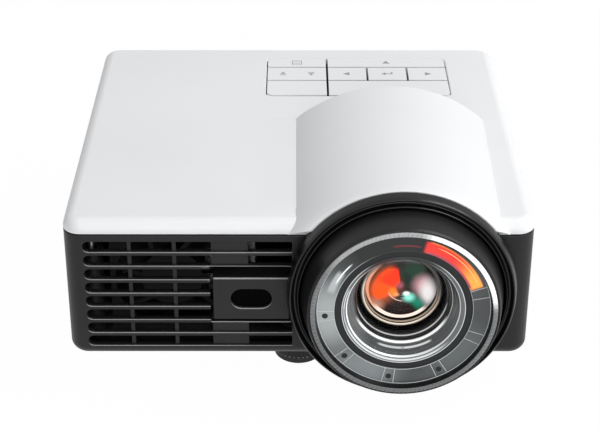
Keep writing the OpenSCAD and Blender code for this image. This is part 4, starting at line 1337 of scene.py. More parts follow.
@dataclass
class Hump:
    """The rounded hump over the lens.

    Attributes:
        body: Sizes of the body.
        lip: Radius at the lip.
        shoulder_y: Where the front roll ends.
        shoulder: Radius behind the roll.
        shoulder_z: Centre height of the arc there.
        tail: Radius at the rear end.
        tail_z: Centre height of the arc there.
        tail_y: Rear end.
        tail_edge: Radius of the rear edge.
        slope: Length of the slope behind it.
        left_wide: Share that the left flank is wider behind the front roll.
        tail_wide: Share that it is wider at the rear end.
        lip_rise: How far the foot of the lip rises towards its front.
    """

    body: Body
    lip: float = 27.4
    shoulder_y: float = 7.0
    shoulder: float = 31.8
    shoulder_z: float = 16.0
    tail: float = 35.0
    tail_z: float = 12.5
    tail_y: float = 57.5
    tail_edge: float = 2.5
    slope: float = 5.0
    left_wide: float = 0.1
    tail_wide: float = 0.055
    lip_rise: float = 2.6

    def flank(self, y: float) -> float:
        """Width of the left flank over that of a true arc, at a depth."""
        roll, run = self._shares(y)
        return 1 + self.left_wide * roll + (self.tail_wide - self.left_wide) * run

    def radius(self, y: float) -> float:
        """Radius of the arc at a depth."""
        roll, run = self._shares(y)
        return self.lip + (self.shoulder - self.lip) * roll + (self.tail - self.shoulder) * run

    def height(self, y: float) -> float:
        """Centre height of the arc at a depth."""
        (roll, run), low = self._shares(y), self.body.lens_z
        return low + (self.shoulder_z - low) * roll + (self.tail_z - self.shoulder_z) * run

    def _shares(self, y: float) -> Flat:
        """Shares of the hump's two stretches that are passed at a depth.

        Args:
            y: The depth.

        Returns:
            Shares of the front roll and of the straight run.
        """
        reach = self.shoulder_y + self.body.lip_reach
        ahead = max(0.0, (self.shoulder_y - y) / reach)
        run = (y - self.shoulder_y) / (self.tail_y - self.shoulder_y)
        return math.sqrt(max(0.0, 1 - ahead * ahead)), max(0.0, run)

    def section(self, y: float, inset: float, base: float, drop: float = 0.0, steps: int = 96) -> list[Point]:
        """Section of the hump.

        Args:
            y: Depth of the section.
            inset: How far it is shrunk.
            base: Level of its flat foot.
            drop: How far its arc is lowered.
            steps: Chords of its arc.

        Returns:
            The section's points.
        """
        radius, centre = self.radius(y) - inset, self.height(y) - drop
        low = math.degrees(math.asin((base - centre) / radius))
        wide = self.flank(y)
        points = arc((0, 0), radius, low, 180 - low, steps)
        return [(self.body.lens_x + (u * wide if u < 0 else u), y, centre + v) for u, v in points]

    def outside(self) -> Draft:
        """Outer form: a front roll, a straight run, a rounded rear edge and a slope.

        Returns:
            Its draft.
        """
        body, base = self.body, self.body.parting + self.body.seam
        roll_steps, run_steps, edge_steps, edge_turn = 18, 8, 6, 60
        reach = self.shoulder_y + body.lip_reach
        turns = [math.radians(90 * i / roll_steps) for i in range(roll_steps + 1)]
        depths = [self.shoulder_y - reach * math.cos(turn) for turn in turns]
        rings = [self.section(y, 0, base + self.lip_rise * max(0.0, -y) / body.lip_reach) for y in depths]
        run = self.tail_y - self.tail_edge - self.shoulder_y
        rings += [self.section(self.shoulder_y + run * i / run_steps, 0, base) for i in range(1, run_steps)]
        for i in range(edge_steps + 1):
            turn = math.radians(edge_turn * i / edge_steps)
            y = self.tail_y - self.tail_edge * (1 - math.sin(turn))
            rings.append(self.section(y, 0, base, self.tail_edge * (1 - math.cos(turn))))
        full = self.radius(self.tail_y) + self.height(self.tail_y) - body.top
        rings.append(self.section(self.tail_y + self.slope, 0, base, full))
        return Draft().skin(rings)

    def inside(self) -> Draft:
        """Hollow under the hump.

        Returns:
            Its draft.
        """
        wall, under, steps = self.body.wall, self.body.parting - 1, 8
        depths = [wall + (self.shoulder_y - wall) * i / steps for i in range(steps + 1)]
        depths.append(self.tail_y - wall)
        return Draft().skin([self.section(y, wall, under, steps=64) for y in depths])


@dataclass
class Fairing:
    """The flat top's soft rise towards the hump's left side.

    Attributes:
        body: Sizes of the body.
        left: Where the rise starts.
        right: Where it is highest, inside the hump.
        front: Where it starts behind the front face.
        rear: Where it ends.
        rise: Its height at the crease.
        fade: Length over which it fades in.
        rear_fade: Share of that length over which it fades out.
        sunk: How far its upper face starts below the top.
        root: How far its foot stands below the top.
    """

    body: Body
    left: float = -13.8
    right: float = 4.2
    front: float = 3.0
    rear: float = 57.5
    rise: float = 0.9
    fade: float = 4.0
    rear_fade: float = 0.4
    sunk: float = 0.02
    root: float = 1.2

    def form(self) -> Draft:
        """A thin closed form whose upper face rises with the square of the way across.

        Returns:
            Its draft.
        """
        across, along = 18, 30
        left, right, level = self.left, self.right, self.body.top
        rings = []
        for j in range(along + 1):
            y = self.front + (self.rear - self.front) * j / along
            ends = min(1.0, (y - self.front) / self.fade, (self.rear - y) / (self.fade * self.rear_fade))
            ease = ends * ends * (3 - 2 * ends)
            top = []
            for i in range(across + 1):
                share = i / across
                height = self.rise * share * share * ease
                top.append((left + (right - left) * share, y, level - self.sunk + height))
            foot = level - self.root
            rings.append([(left, y, foot), (right, y, foot), *reversed(top)])
        return Draft().skin(rings)


@dataclass
class TopCover(SubAssembly):
    """The pale top cover with its hump and the opening for the keys.

    Attributes:
        foot_edge: Radius of the edge over the seam.
        collar_gap: Gap round the trim ring.
        key_edge: How far the key opening is flared at the top.
    """

    foot_edge: float = 0.3
    collar_gap: float = 0.15
    key_edge: float = 0.35

    def shell(self) -> Piece:
        """The closed shell: slab, hump and fairing, hollow underneath.

        Returns:
            The shell.
        """
        body, seat = self.body, self.shop.seat
        side, wall, hump = body.side, body.wall, Hump(body)
        outer = block(
            Plane.LEVEL, (-side, 0), (side, body.depth), body.corner,
            (body.parting + body.seam, body.top), (self.foot_edge, body.edge), steps=10,
            corner_steps=12,
        ).build("cover_shell", seat)
        inner = block(
            Plane.LEVEL, (-side + wall, wall), (side - wall, body.depth - wall), body.corner - wall,
            (0, body.top - wall), (0, body.edge - wall),
        ).build("cover_hollow", seat)
        rises = [hump.outside().build("hump", seat), Fairing(body).form().build("fairing", seat)]
        carve(outer, rises, Cut.ON)
        ring = body.collar + self.collar_gap
        land, ahead, land_y, behind = ring - body.collar_wall, -9, 0.01, 5
        profile = [(0, ahead), (ring, ahead), (ring, land_y), (land, land_y), (land, behind), (0, behind)]
        lens_hole = turned(profile, body.axis).build("lens_hole", seat)
        carve(outer, [inner, hump.inside().build("hump_hollow", seat), lens_hole])
        return outer

    def build(self) -> None:
        """Cuts the key opening and fits the cover."""
        pad = KeyPlan()
        cover = self.shell()
        opening = block(
            Plane.LEVEL, (pad.left, pad.front), (pad.right, pad.back), pad.corner,
            (self.body.parting - 2, self.body.top), (0, -self.key_edge), steps=5, corner_steps=10,
        )
        carve(cover, [opening.build("key_opening", self.shop.seat)])
        polish(cover, angle=22)
        self.shop.fit(cover, COVER, "housing", "cover", ["top_cover"])


# ---- Dark case ----


@dataclass
class Grille:
    """Slots of the front grille.

    Attributes:
        rows: Number of rows.
        slot: Height of a slot.
        pitch: Step from one row to the next.
        sill: Frame below the lowest slot.
        left: Left end of the long slots.
        right: Right end of the long slots.
        web: Width of the closed column beside them.
        short_right: Right end of the short slots.
        ribs: Places of the upright ribs.
        rib: Width of a rib.
        back: How far ribs and column stand behind the bars.
        ease: Radius of a slot's front edge.
        corner: Radius of a slot's plain corners.
        hair: Least straight length of a round end.
        room_top: How far the sensor's room stops below the bar over it.
    """

    rows: int = 8
    slot: float = 2.75
    pitch: float = 3.75
    sill: float = 3.1
    left: float = -51.2
    right: float = -20.8
    web: float = 8.7
    short_right: float = -1.6
    ribs: tuple[float, float] = (-40.25, -29.6)
    rib: float = 1.0
    back: float = 0.6
    ease: float = 0.22
    corner: float = 0.25
    hair: float = 0.001
    room_top: float = 0.6

    def row(self, index: int) -> float:
        """Foot of a slot row."""
        return self.sill + index * self.pitch

    def cutter(self, left: float, right: float, round_left: bool, depth: Flat) -> Draft:
        """A cutter for a slot in the lowest row.

        Args:
            left: Left end.
            right: Right end.
            round_left: True where the left end is a half circle.
            depth: Front level and rear level of the cut.

        Returns:
            The cutter's draft, flared at the front.
        """
        full, small = self.slot / 2 - self.hair, self.corner
        radii = [full, small, small, full] if round_left else [small] * 4
        low, high = (left, self.sill), (right, self.sill + self.slot)
        return block(Plane.UPRIGHT, low, high, radii, depth, (-self.ease, 0), steps=3)


@dataclass
class Sensor:
    """The focus sensor beside the lens.

    Attributes:
        left: Left side of its block.
        foot: Foot of its block.
        width: Width of the block.
        height: Height of the block.
        depth: Depth of the block.
        gap: Gap round it.
        window: Width and height of its oval window.
    """

    left: float = -20.6
    foot: float = 10.6
    width: float = 18.4
    height: float = 11.65
    depth: float = 5.5
    gap: float = 0.6
    window: Flat = (9.8, 5.3)

    @property
    def middle(self) -> Flat:
        """x and z of the window's middle."""
        return (self.left + self.width / 2, self.foot + self.height / 2)

    def oval(self, shrink: float, span: Flat, eased: Flat = (0.0, 0.0)) -> Draft:
        """A level oval about the window's middle.

        Args:
            shrink: How much smaller than the window it is.
            span: Front and rear level.
            eased: Radius of each end's edge.

        Returns:
            The oval's draft.
        """
        half = (self.window[0] / 2 - shrink, self.window[1] / 2 - shrink)
        low = (self.middle[0] - half[0], self.middle[1] - half[1])
        high = (self.middle[0] + half[0], self.middle[1] + half[1])
        return block(Plane.UPRIGHT, low, high, half[1] - 0.001, span, eased, 6, 16)


@dataclass
class DarkCase(SubAssembly):
    """The charcoal case: front panel with its grille, bottom, rear panel and sensor.

    Attributes:
        grille: Slots of the front grille.
        sensor: The focus sensor.
        belly: Depth of the panel's swelling behind the trim ring.
        belly_gap: How far the swelling stands inside the trim ring.
        lens_room: Radius of the room behind the trim ring.
        lens_hole: Radius of the hole for the trim ring.
        far: A reach that passes every side.
        soft_edge: Radius of the edges of what is refined.
    """

    grille: Grille = field(default_factory=Grille)
    sensor: Sensor = field(default_factory=Sensor)
    belly: float = 14.0
    belly_gap: float = 0.3
    lens_room: float = 24.7
    lens_hole: float = 25.75
    far: float = 80.0
    soft_edge: float = 0.15

    def front_panel(self) -> None:
        """The front panel, with its side returns, slots, ribs and belly."""
        body, seat, wall = self.body, self.shop.seat, self.body.wall
        panel = block(
            Plane.LEVEL, (-body.side, 0), (body.side, 40), body.corner, (0, body.parting),
            (body.edge, body.seam), steps=10, corner_steps=14,
        ).build("front_panel_face", seat)
        ring = body.collar - self.belly_gap
        belly = self._round([(0, 0), (ring, 0), (ring, self.belly), (0, self.belly)], "belly")
        carve(panel, [carve(belly, [self._beyond("lower", -1, (-30, 2))], Cut.WITHIN)], Cut.ON)
        hollow = block(
            Plane.LEVEL, (-body.side + wall, wall), (body.side - wall, 60), body.corner - wall,
            (wall, body.parting + 1), (body.edge - wall, 0),
        ).build("hollow", seat)
        room, hole = self.lens_room, self.lens_hole
        lens_room = self._round([(0, wall), (room, wall), (room, 20), (0, 20)], "lens_room")
        lens_hole = self._round([(0, -2), (hole, -2), (hole, 3), (0, 3)], "lens_hole")
        carve(panel, [hollow, lens_room, lens_hole, self._beyond("rear", body.front_return, (-30, 60))])
        carve(panel, self._slots())
        carve(panel, [self._ribs()], Cut.ON)
        polish(panel, angle=28)
        self.shop.fit(panel, CASE, "housing", "case", ["front_panel"])

    def _round(self, profile: Sequence[Flat], name: str) -> Piece:
        """A plain piece turned about the lens axis."""
        return turned(profile, self.body.axis).build(name, self.shop.seat)

    def _beyond(self, name: str, front: float, levels: Flat) -> Piece:
        """A wide cutter from a front level on.

        Args:
            name: Its name.
            front: Its front side.
            levels: Its lowest and highest level.

        Returns:
            The cutter.
        """
        low, high = (-self.far, front), (self.far, self.far + 10)
        draft = block(Plane.LEVEL, low, high, 0.01, levels, steps=1, corner_steps=1)
        return draft.build(name, self.shop.seat)

    def _ribs(self) -> Piece:
        """The two upright ribs of the grille.

        Returns:
            The ribs, as one piece.
        """
        grille, over, half = self.grille, 0.5, self.grille.rib / 2
        first, second = grille.ribs
        rib = block(
            Plane.UPRIGHT, (first - half, grille.sill - over),
            (first + half, grille.row(grille.rows - 1) + grille.slot + over), 0.05,
            (grille.back, self.body.wall - 0.1), (0.2, 0), steps=3, corner_steps=2,
        ).build("ribs", self.shop.seat)
        return self.shop.pattern.apply(rib, 2, (second - first, 0, 0))

    def _slots(self) -> list[Piece]:
        """Cutters for the long slots, the short slots, the closed column and the sensor.

        Returns:
            The cutters.
        """
        grille, sensor, seat = self.grille, self.sensor, self.shop.seat
        column, over, gap = grille.right + grille.web, 0.5, sensor.gap
        through, pocket = (0, self.body.wall + 1), (0, grille.back)
        upper = seat.point((0, 0, grille.pitch * 6)) - seat.point((0, 0, 0))
        short = (column, grille.short_right, False, through)
        web = (grille.right - over, column + over, False, pocket)
        rows = (
            ("slots", (grille.left, grille.right, True, through), grille.rows, (0, 0, 0)),
            ("low_slots", short, 2, (0, 0, 0)),
            ("high_slots", short, 2, upper),
            ("low_web", web, 2, (0, 0, 0)),
            ("high_web", web, 2, upper),
        )
        cutters = []
        for name, sizes, count, start in rows:
            cutter = grille.cutter(*sizes).build(name, seat)
            cutters.append(self.shop.pattern.apply(cutter, count, (0, 0, grille.pitch), start))
        top = sensor.foot + sensor.height + grille.pitch - grille.room_top
        room = block(
            Plane.UPRIGHT, (sensor.left - gap, sensor.foot - gap),
            (sensor.left + sensor.width + 0.2, top), 0.3, through, (-grille.ease, 0), steps=3,
            corner_steps=4,
        )
        return [*cutters, room.build("sensor_room", seat)]

    def focus_sensor(self) -> None:
        """The sensor's block and its dark oval window."""
        sensor, seat = self.sensor, self.shop.seat
        face = block(
            Plane.UPRIGHT, (sensor.left, sensor.foot),
            (sensor.left + sensor.width, sensor.foot + sensor.height), 0.35, (0, sensor.depth),
            (0.35, 0.1), steps=5, corner_steps=5,
        ).build("sensor_face", seat)
        mouth = sensor.oval(0, (0, 2), (-0.25, 0)).build("mouth", seat)
        well = sensor.oval(0.5, (1, sensor.depth + 1)).build("well", seat)
        carve(face, [mouth, well])
        polish(face, angle=30)
        self.shop.fit(face, CASE, "housing", "case", ["sensor_block"])
        glass = polish(sensor.oval(0.06, (0.9, 2), (0.35, 0)).build("sensor_glass", seat))
        self.shop.fit(glass, GLOSS, "housing", "window", ["sensor_window"])

    def carried(self) -> None:
        """Bottom case and rear panel, refined from their CAD nodes."""
        case = refined("bottom_case", "case_bottom", self.soft_edge)
        self.shop.fit(case, CASE, "housing", "case", ["bottom_case"])
        rear = refined("rear_panel", "case_rear", self.soft_edge)
        self.shop.fit(rear, CASE, "housing", "case", ["rear_panel"])

    def build(self) -> None:
        """Builds the case's pieces."""
        self.front_panel()
        self.focus_sensor()
        self.carried()


# ---- Lens ----

# Painted reflections of the surroundings in the inner lens's coating: coloured spots and arcs, dark ones as
# painted shade, glowing by light.
DOME = Coated(
    "dome_coating",
    (0.008, 0.004, 0.004),
    (
        Glow(-3.6, 1.0, 6.0, 7.5, (0.1, 0.028, 0.012), 0.3),
        Glow(-5.4, -0.6, 4.2, 4.8, (0.5, 0.085, 0.02), 0.15),
        Glow(-6.0, -4.2, 3.2, 2.6, (0.42, 0.2, 0.14), 0.1, -40),
        Sweep(4.3, 3.5, 122, 190, (1.0, 0.08, 0.0), 0.35, 24),
        Sweep(3.9, 2.7, 104, 150, (1.0, 0.03, 0.0), 0.45, 9),
        Glow(-2.0, -0.5, 1.5, 2.0, (1.0, 0.2, 0.015), 0.25),
        Glow(2.9, 5.0, 3.8, 3.4, (0.004, 0.032, 0.016), 0.4),
        Glow(1.5, 2.9, 1.5, 3.2, (0.003, 0.014, 0.008), 0.4, 20),
        Glow(4.8, 1.4, 3.3, 3.9, (0.46, 0.24, 0.26), 0.05),
        Glow(6.4, -0.9, 3.1, 5.6, (0.74, 0.7, 0.7), 0.1, 8),
        Glow(3.6, -3.7, 3.5, 2.6, (0.008, 0.2, 0.125), 0.1, -35),
        Glow(0.2, -5.2, 4.8, 2.8, (0.012, 0.006, 0.005), 0.4),
        Glow(-0.3, 1.5, 1.2, 1.5, (0.3, 0.07, 0.1), 0.1),
        Glow(1.8, -1.9, 2.3, 1.9, (0.26, 0.78, 0.64), 0.08),
        Glow(1.2, -0.8, 1.2, 0.9, (0.8, 0.84, 0.8), 0.25),
        Glow(-1.2, -1.1, 1.1, 0.9, (0.8, 0.36, 0.16), 0.1, 0, 0.8),
        Glow(-0.2, -1.7, 1.3, 0.28, (0.01, 0.01, 0.01), 0.3),
        Sweep(3.85, 0.16, -148, -98, (0.62, 0.5, 0.44), 0.4, 14, 0.5, 0.9),
        Sweep(8.15, 0.55, 150, 232, (0.8, 0.36, 0.22), 0.3, 30),
        Sweep(7.85, 0.8, -130, -54, (0.97, 0.83, 0.72), 0.5, 20),
        Sweep(8.6, 0.25, -150, -30, (0.004, 0.004, 0.004), 0.5, 30),
    ),
    roughness=0.1,
    coat=0.25,
    light=0.6,
    shine=0.2,
)
# Painted light on the clear flange: a pale painted reflection at the left, painted shade at the top, and
# orange, red and white painted reflections at the upper right and upper left.
FLANGE = Coated(
    "flange_clear",
    (0.05, 0.055, 0.056),
    (
        Glow(-18.5, -1.0, 14.0, 14.0, (0.27, 0.29, 0.293), 0.15),
        Glow(-10.0, -16.5, 13.0, 10.0, (0.15, 0.165, 0.17), 0.2),
        Glow(14.0, -12.0, 12.0, 12.0, (0.075, 0.084, 0.086), 0.2),
        Glow(0.0, 18.0, 19.0, 13.5, (0.008, 0.009, 0.009), 0.55),
        Sweep(17.85, 1.85, 22, 71, (0.96, 0.34, 0.05), 0.7, 3),
        Sweep(17.85, 1.86, 54, 84, (0.68, 0.03, 0.02), 0.6, 26),
        Sweep(16.4, 0.7, 24, 70, (0.4, 0.05, 0.08), 0.3, 5),
        Sweep(18.5, 0.12, 28, 60, (0.98, 0.5, 0.2), 0.3, 8),
        Sweep(17.9, 2.5, 77, 125, (0.008, 0.009, 0.009), 0.85, 3),
        Sweep(17.6, 0.35, 82, 96, (0.12, 0.015, 0.02), 0.3, 5),
        Sweep(17.9, 1.2, 148, 160, (0.34, 0.36, 0.37), 0.4, 5),
        Sweep(17.6, 0.25, 139, 150, (0.7, 0.73, 0.74), 0.4, 6),
    ),
    roughness=0.16,
    coat=0.35,
    light=0.45,
    shine=0.3,
)
# Painted highlights on the spacer and the bowl lip: pale arcs for the light on its steps, and a dark arc of
# painted shade in a step.
SHEEN = Coated(
    "spacer_sheen",
    (0.014, 0.015, 0.016),
    (
        Sweep(12.8, 1.1, -175, -10, (0.075, 0.083, 0.086), 0.4, 30),
        Sweep(12.4, 1.3, 160, 215, (0.12, 0.13, 0.135), 0.3, 20),
        Sweep(13.95, 0.7, -212, 40, (0.1, 0.108, 0.112), 0.6, 30),
        Sweep(14.45, 0.13, -220, 45, (0.5, 0.52, 0.53), 0.4, 25),
        Sweep(13.95, 0.14, 160, 176, (0.7, 0.72, 0.73), 0.3, 6),
        Sweep(13.95, 0.12, 183, 192, (0.55, 0.57, 0.58), 0.3, 5),
        Sweep(13.9, 0.25, -150, -60, (0.55, 0.57, 0.58), 0.3, 25),
        Sweep(13.35, 0.2, -220, -70, (0.92, 0.94, 0.95), 0.4, 30),
        Sweep(13.35, 0.14, -70, 40, (0.55, 0.57, 0.58), 0.4, 30),
        Sweep(12.55, 0.13, -112, -92, (0.62, 0.64, 0.65), 0.3, 6),
        Sweep(12.55, 0.13, -84, -60, (0.7, 0.72, 0.73), 0.3, 6),
        Sweep(12.5, 0.12, 134, 156, (0.4, 0.42, 0.43), 0.3, 8),
        Sweep(11.75, 0.42, -142, -38, (0.86, 0.88, 0.88), 0.35, 18),
        Sweep(11.3, 0.3, -160, -20, (0.01, 0.01, 0.011), 0.6, 10),
        Sweep(10.9, 0.11, -155, -20, (0.55, 0.57, 0.58), 0.4, 15),
        Sweep(11.9, 0.1, -30, 20, (0.4, 0.42, 0.43), 0.4, 15),
    ),
    roughness=0.3,
    coat=0.2,
    light=0.5,
    shine=0.3,
)
# Painted reflection: a cream arc round the lower side of the lens bead, with a grey one at the upper left.
BEAD = Coated(
    "bead_cream",
    (0.05, 0.045, 0.04),
    (
        Sweep(9.0, 0.7, 150, 330, (0.42, 0.33, 0.25), 0.3, 40),
        Sweep(9.1, 0.3, 165, 300, (0.75, 0.66, 0.55), 0.4, 40),
        Sweep(9.0, 0.6, 85, 150, (0.16, 0.17, 0.17), 0.3, 20),
    ),
    coat=0.6,
    light=0.4,
)
# Painted glints on the flange's edge and step: paler arcs over most of the way round.
EDGE_LINE = Coated(
    "clear_edge",
    (0.03, 0.032, 0.033),
    (
        Sweep(18.0, 4.0, 140, 330, (0.42, 0.44, 0.45), 0.8, 30),
        Sweep(18.0, 4.0, -30, 10, (0.3, 0.32, 0.33), 0.8, 20),
    ),
    roughness=0.2,
    coat=0.3,
    light=0.4,
)
# Blasted grey rim with painted light: a bright painted highlight at the upper right, paler at the top, and
# painted shade at the lower left and bottom.
BLASTED_PAINTED_LIGHT = Coated(
    "rim_blasted",
    (0.2, 0.205, 0.21),
    (
        Sweep(21.4, 2.0, 85, 130, (0.32, 0.325, 0.33), 0.8, 20),
        Sweep(21.4, 2.0, -160, -60, (0.12, 0.123, 0.126), 0.8, 40),
        Sweep(21.4, 2.0, 15, 68, (0.92, 0.93, 0.93), 0.8, 14),
    ),
    roughness=0.5,
    coat=0.0,
    light=0.3,
    depth=0.06,
)


@dataclass
class LensHead(SubAssembly):
    """The lens in its trim ring: barrel, rim, front lens, spacer, cell and inner lens."""

    reach: float = 13.0
    collar_reach: float = 6.0
    barrel: float = 24.2
    barrel_front: float = 22.4
    rim: float = 21.9
    rim_width: float = 1.1
    glass: float = 19.4
    flange_out: float = 20.4
    flange_in: float = 14.7
    flange_t: float = 2.0
    bowl_depth: float = 3.0
    inner: float = 8.7
    bore: float = 10.5
    cell_front: float = -4.4
    flange_step: float = 16.2
    marks: int = 6
    pins: int = 4
    first_mark: float = 184.0
    mark_step: float = 38.2
    mark_half: float = 4.0
    setback: float = 2.2
    rim_ribs: int = 130

    def _turn(
        self, name: str, profile: Sequence[Flat], soft: float = 0.0, segments: int = 192
    ) -> Piece:
        """A polished piece turned about the lens axis.

        Args:
            name: Name of the piece.
            profile: Its profile of radius and y.
            soft: Rounding of the profile's corners.
            segments: Steps round the axis.

        Returns:
            The piece.
        """
        outline = soften(profile, soft) if soft else profile
        return polish(turned(outline, self.body.axis, segments).build(name, self.shop.seat), angle=40)

    def trim_ring(self) -> None:
        """The fixed trim ring with its two ridges."""
        r, front, wall = self.body.collar, -self.collar_reach, self.body.wall
        seat = r - self.body.collar_wall
        profile = [
            (seat, wall), (seat, 0), (r, 0), (r, -3.1), (27.4, -3.4), (r, 1 + front),
            (r - 0.25, 0.35 + front), (r - 0.55, 0.1 + front), (r - 0.8, 0.3 + front), (r - 1.2, 1.4 + front),
            (r - 1.75, 1.4 + front), (r - 2.05, 0.25 + front), (r - 2.25, front), (r - 2.45, 0.15 + front),
            (self.barrel + 0.15, 0.9 + front), (self.barrel + 0.15, wall),
        ]
        ring = self._turn("trim_ring", profile, 0.18)
        self.shop.fit(ring, SATIN, "housing", "lens_black", ["lens_collar"])

    def barrel_cone(self) -> None:
        """The smooth barrel that carries the rim and the front lens."""
        front, back = -self.reach, 1.9 - self.reach + self.flange_t
        rim_back = 1.6 - self.reach
        profile = [
            (self.barrel, 6), (self.barrel, 1.4 - self.collar_reach), (self.barrel_front + 0.3, 1 + front),
            (self.barrel_front, 0.4 + front), (self.rim + 0.05, 0.4 + front), (self.rim + 0.05, rim_back),
            (self.flange_out + 0.05, rim_back + 0.1), (self.flange_out + 0.05, back), (self.glass - 1, back),
            (self.glass - 1, -3), (self.barrel - 2, -3), (self.barrel - 2, 6),
        ]
        cone = self._turn("barrel_cone", profile, 0.2)
        self.shop.fit(cone, CONE, "housing", "lens_black", ["lens_barrel"])

    def bright_rim(self) -> None:
        """The blasted rim with its fine ribs, and the dark slope inside it."""
        front, back = -self.reach, 1.6 - self.reach
        inside = self.rim - self.rim_width
        face, flange = 0.22 + front, self.flange_out + 0.05
        profile = [
            (self.rim, back), (self.rim, face), (inside, face), (inside, 0.6 + front), (inside + 0.1, back),
        ]
        rim = self._turn("bright_rim", profile, 0.2)
        self.shop.fit(rim, BLASTED_PAINTED_LIGHT, "housing", "rim", ["lens_rim"])
        rib = block(
            Plane.UPRIGHT, (inside + 0.1, -0.2), (self.rim - 0.08, 0.2), 0.08, (front, front + 0.5),
            (0.12, 0), steps=3, corner_steps=2,
        ).build("rim_ribs", ORIGIN)
        step = (0, 360 / self.rim_ribs, 0)
        self.shop.pattern.apply(
            rib, self.rim_ribs, start=self.shop.lens_centre, turn=step, finish=self.shop.finish(BLASTED_PAINTED_LIGHT)
        )
        self.shop.fit(polish(rib), BLASTED_PAINTED_LIGHT, "housing", "rim")
        foot = back - 0.02
        profile = [(inside, 0.35 + front), (inside, foot), (flange, foot), (flange, back - 0.2)]
        slope = self._turn("rim_slope", profile, 0.08)
        self.shop.fit(slope, SATIN, "housing", "lens_black", ["lens_rim"])

    def front_lens(self) -> None:
        """Clear flange with its moulding marks, and the thin glass bowl inside it."""
        shop, step, dark_in = self.shop, self.flange_step, self.flange_in
        face = 1.9 - self.reach
        back, seam = face + self.flange_t, step - 0.02
        profile = [(self.flange_out, back), (self.flange_out, face), (step, face), (step, back)]
        shop.fit(self._turn("clear_flange", profile, 0.15), FLANGE, "housing", "lens_glass", ["front_lens"])
        profile = [(seam, back), (seam, face + 0.3), (dark_in, face + 0.2), (dark_in, back)]
        shop.fit(self._turn("dark_shelf", profile, 0.1), SHELF, "housing", "lens_black", ["front_lens"])
        self._marks(step, face)
        profile = [
            (dark_in, back), (dark_in, face + 0.3), (dark_in - 0.25, face + 0.08),
            (dark_in - 0.75, face + 0.35), (dark_in - 1.15, face + 0.75), (dark_in - 1.5, face + 1.25),
            (dark_in - 1.7, back),
        ]
        shop.fit(self._turn("bowl_lip", profile, 0.12), SHEEN, "housing", "lens_glass", ["front_lens"])
        bowl = self._bowl(dark_in - 1.1, face + 0.9)
        shop.fit(bowl, BOWL, "housing", "lens_glass", ["front_lens"])

    def _bowl(self, edge: float, level: float) -> Piece:
        """The thin glass bowl.

        Args:
            edge: Its outer radius.
            level: Front level of its edge.

        Returns:
            The bowl.
        """
        sag, thick, rear_edge = self.bowl_depth - 0.8, 1.1, edge - 0.2
        turns = [math.radians(a) for a in range(90, -1, -4)]
        front = [(edge * math.sin(t), level + sag * math.cos(t)) for t in turns]
        rear = [(rear_edge * math.sin(t), level + thick + sag * math.cos(t)) for t in reversed(turns)]
        return self._turn("glass_bowl", front + rear, segments=144)

    def _marks(self, step: float, face: float) -> None:
        """Moulding marks on the flange: a short line each side of a small round pin.

        Args:
            step: Inner radius of the flange.
            face: Level of its front face.
        """
        shop, proud, outer = self.shop, 0.04, self.flange_out
        lines = []
        for side in (-1, 1):
            bar = block(
                Plane.UPRIGHT, (step + 0.1, -0.07), (outer - 0.2, 0.07), 0.02,
                (face - 0.05, face + 0.05), steps=2, corner_steps=2,
            ).build("line", ORIGIN)
            bar.data.transform(Matrix.Rotation(math.radians(side * self.mark_half), 4, "Y"))
            lines.append(bar)
        pair = join("flange_lines", lines)
        first, turn = (0, -self.first_mark, 0), (0, -self.mark_step, 0)
        middle, radius, front = (step + outer) / 2 + 0.15, 0.72, face - 0.03
        profile = soften([(0, face + proud), (0, front), (radius, front), (radius, face + proud)], 0.03)
        pin = turned(profile, (middle, 0), 24).build("flange_pins", ORIGIN)
        # The lines take a pale colour as a painted glint; the pins are dark.
        kinds = (
            (pair, self.marks, BRIGHT_LINE, "lens_glass"),
            (pin, self.pins, SHELF, "lens_black"),
        )
        for mark, count, recipe, slot in kinds:
            finish = shop.finish(recipe)
            shop.pattern.apply(mark, count, start=shop.lens_centre, turn=turn, first=first, finish=finish)
            shop.fit(polish(mark), recipe, "housing", slot)
        # Thin rings at the flange's edge and step, with painted glints.
        for name, radius, half in (("flange_edge", outer - 0.1, 0.08), ("flange_step", step + 0.08, 0.06)):
            low, high = radius - half, radius + half
            profile = [(low, face + proud), (low, face - proud), (high, face - proud), (high, face + proud)]
            shop.fit(self._turn(name, profile, 0.02), EDGE_LINE, "housing", "lens_glass")

    def inside(self) -> None:
        """Spacer, focus cell and domed inner lens."""
        shop, bore, inner = self.shop, self.bore, self.inner
        back = 1.9 - self.reach + self.flange_t
        wide, top = self.glass - 1.1, back + 0.02
        profile = [
            (wide, top), (self.flange_in - 1.75, top), (13.0, back + 0.5), (12.6, back + 1.4),
            (12.3, back + 2.7), (11.6, back + 3.0), (11.35, back + 3.9), (11.0, back + 4.2),
            (bore + 0.25, back + 4.8), (bore + 0.2, -3), (wide, -3),
        ]
        spacer = self._turn("stepped_spacer", profile, 0.12)
        shop.fit(spacer, SHEEN, "housing", "lens_black", ["lens_spacer"])
        front, rear = self.cell_front + self.setback, self.cell_front + 11
        profile = [
            (inner + 0.05, front + 0.5), (inner + 0.25, front), (bore - 0.6, front),
            (bore - 0.05, front + 0.6), (bore - 0.05, rear), (inner - 1.2, rear),
            (inner - 1.2, front + 4), (inner + 0.05, front + 4),
        ]
        shop.fit(self._turn("focus_ring", profile, 0.15), SATIN, "focus_group", "cell", ["focus_cell"])
        profile = [
            (inner - 0.1, front + 0.75), (inner + 0.05, front + 0.45), (inner + 0.3, front - 0.02),
            (inner + 0.6, front - 0.14), (inner + 0.9, front - 0.05), (inner + 0.95, front + 0.1),
            (inner + 0.1, front + 0.9),
        ]
        shop.fit(self._turn("lens_bead", profile, 0.08), BEAD, "focus_group", "cell")
        dome, top = 1.6, front + 0.35
        turns = [math.radians(a) for a in range(0, 91, 5)]
        profile = [(inner * math.sin(t), top + dome * (1 - math.cos(t))) for t in turns]
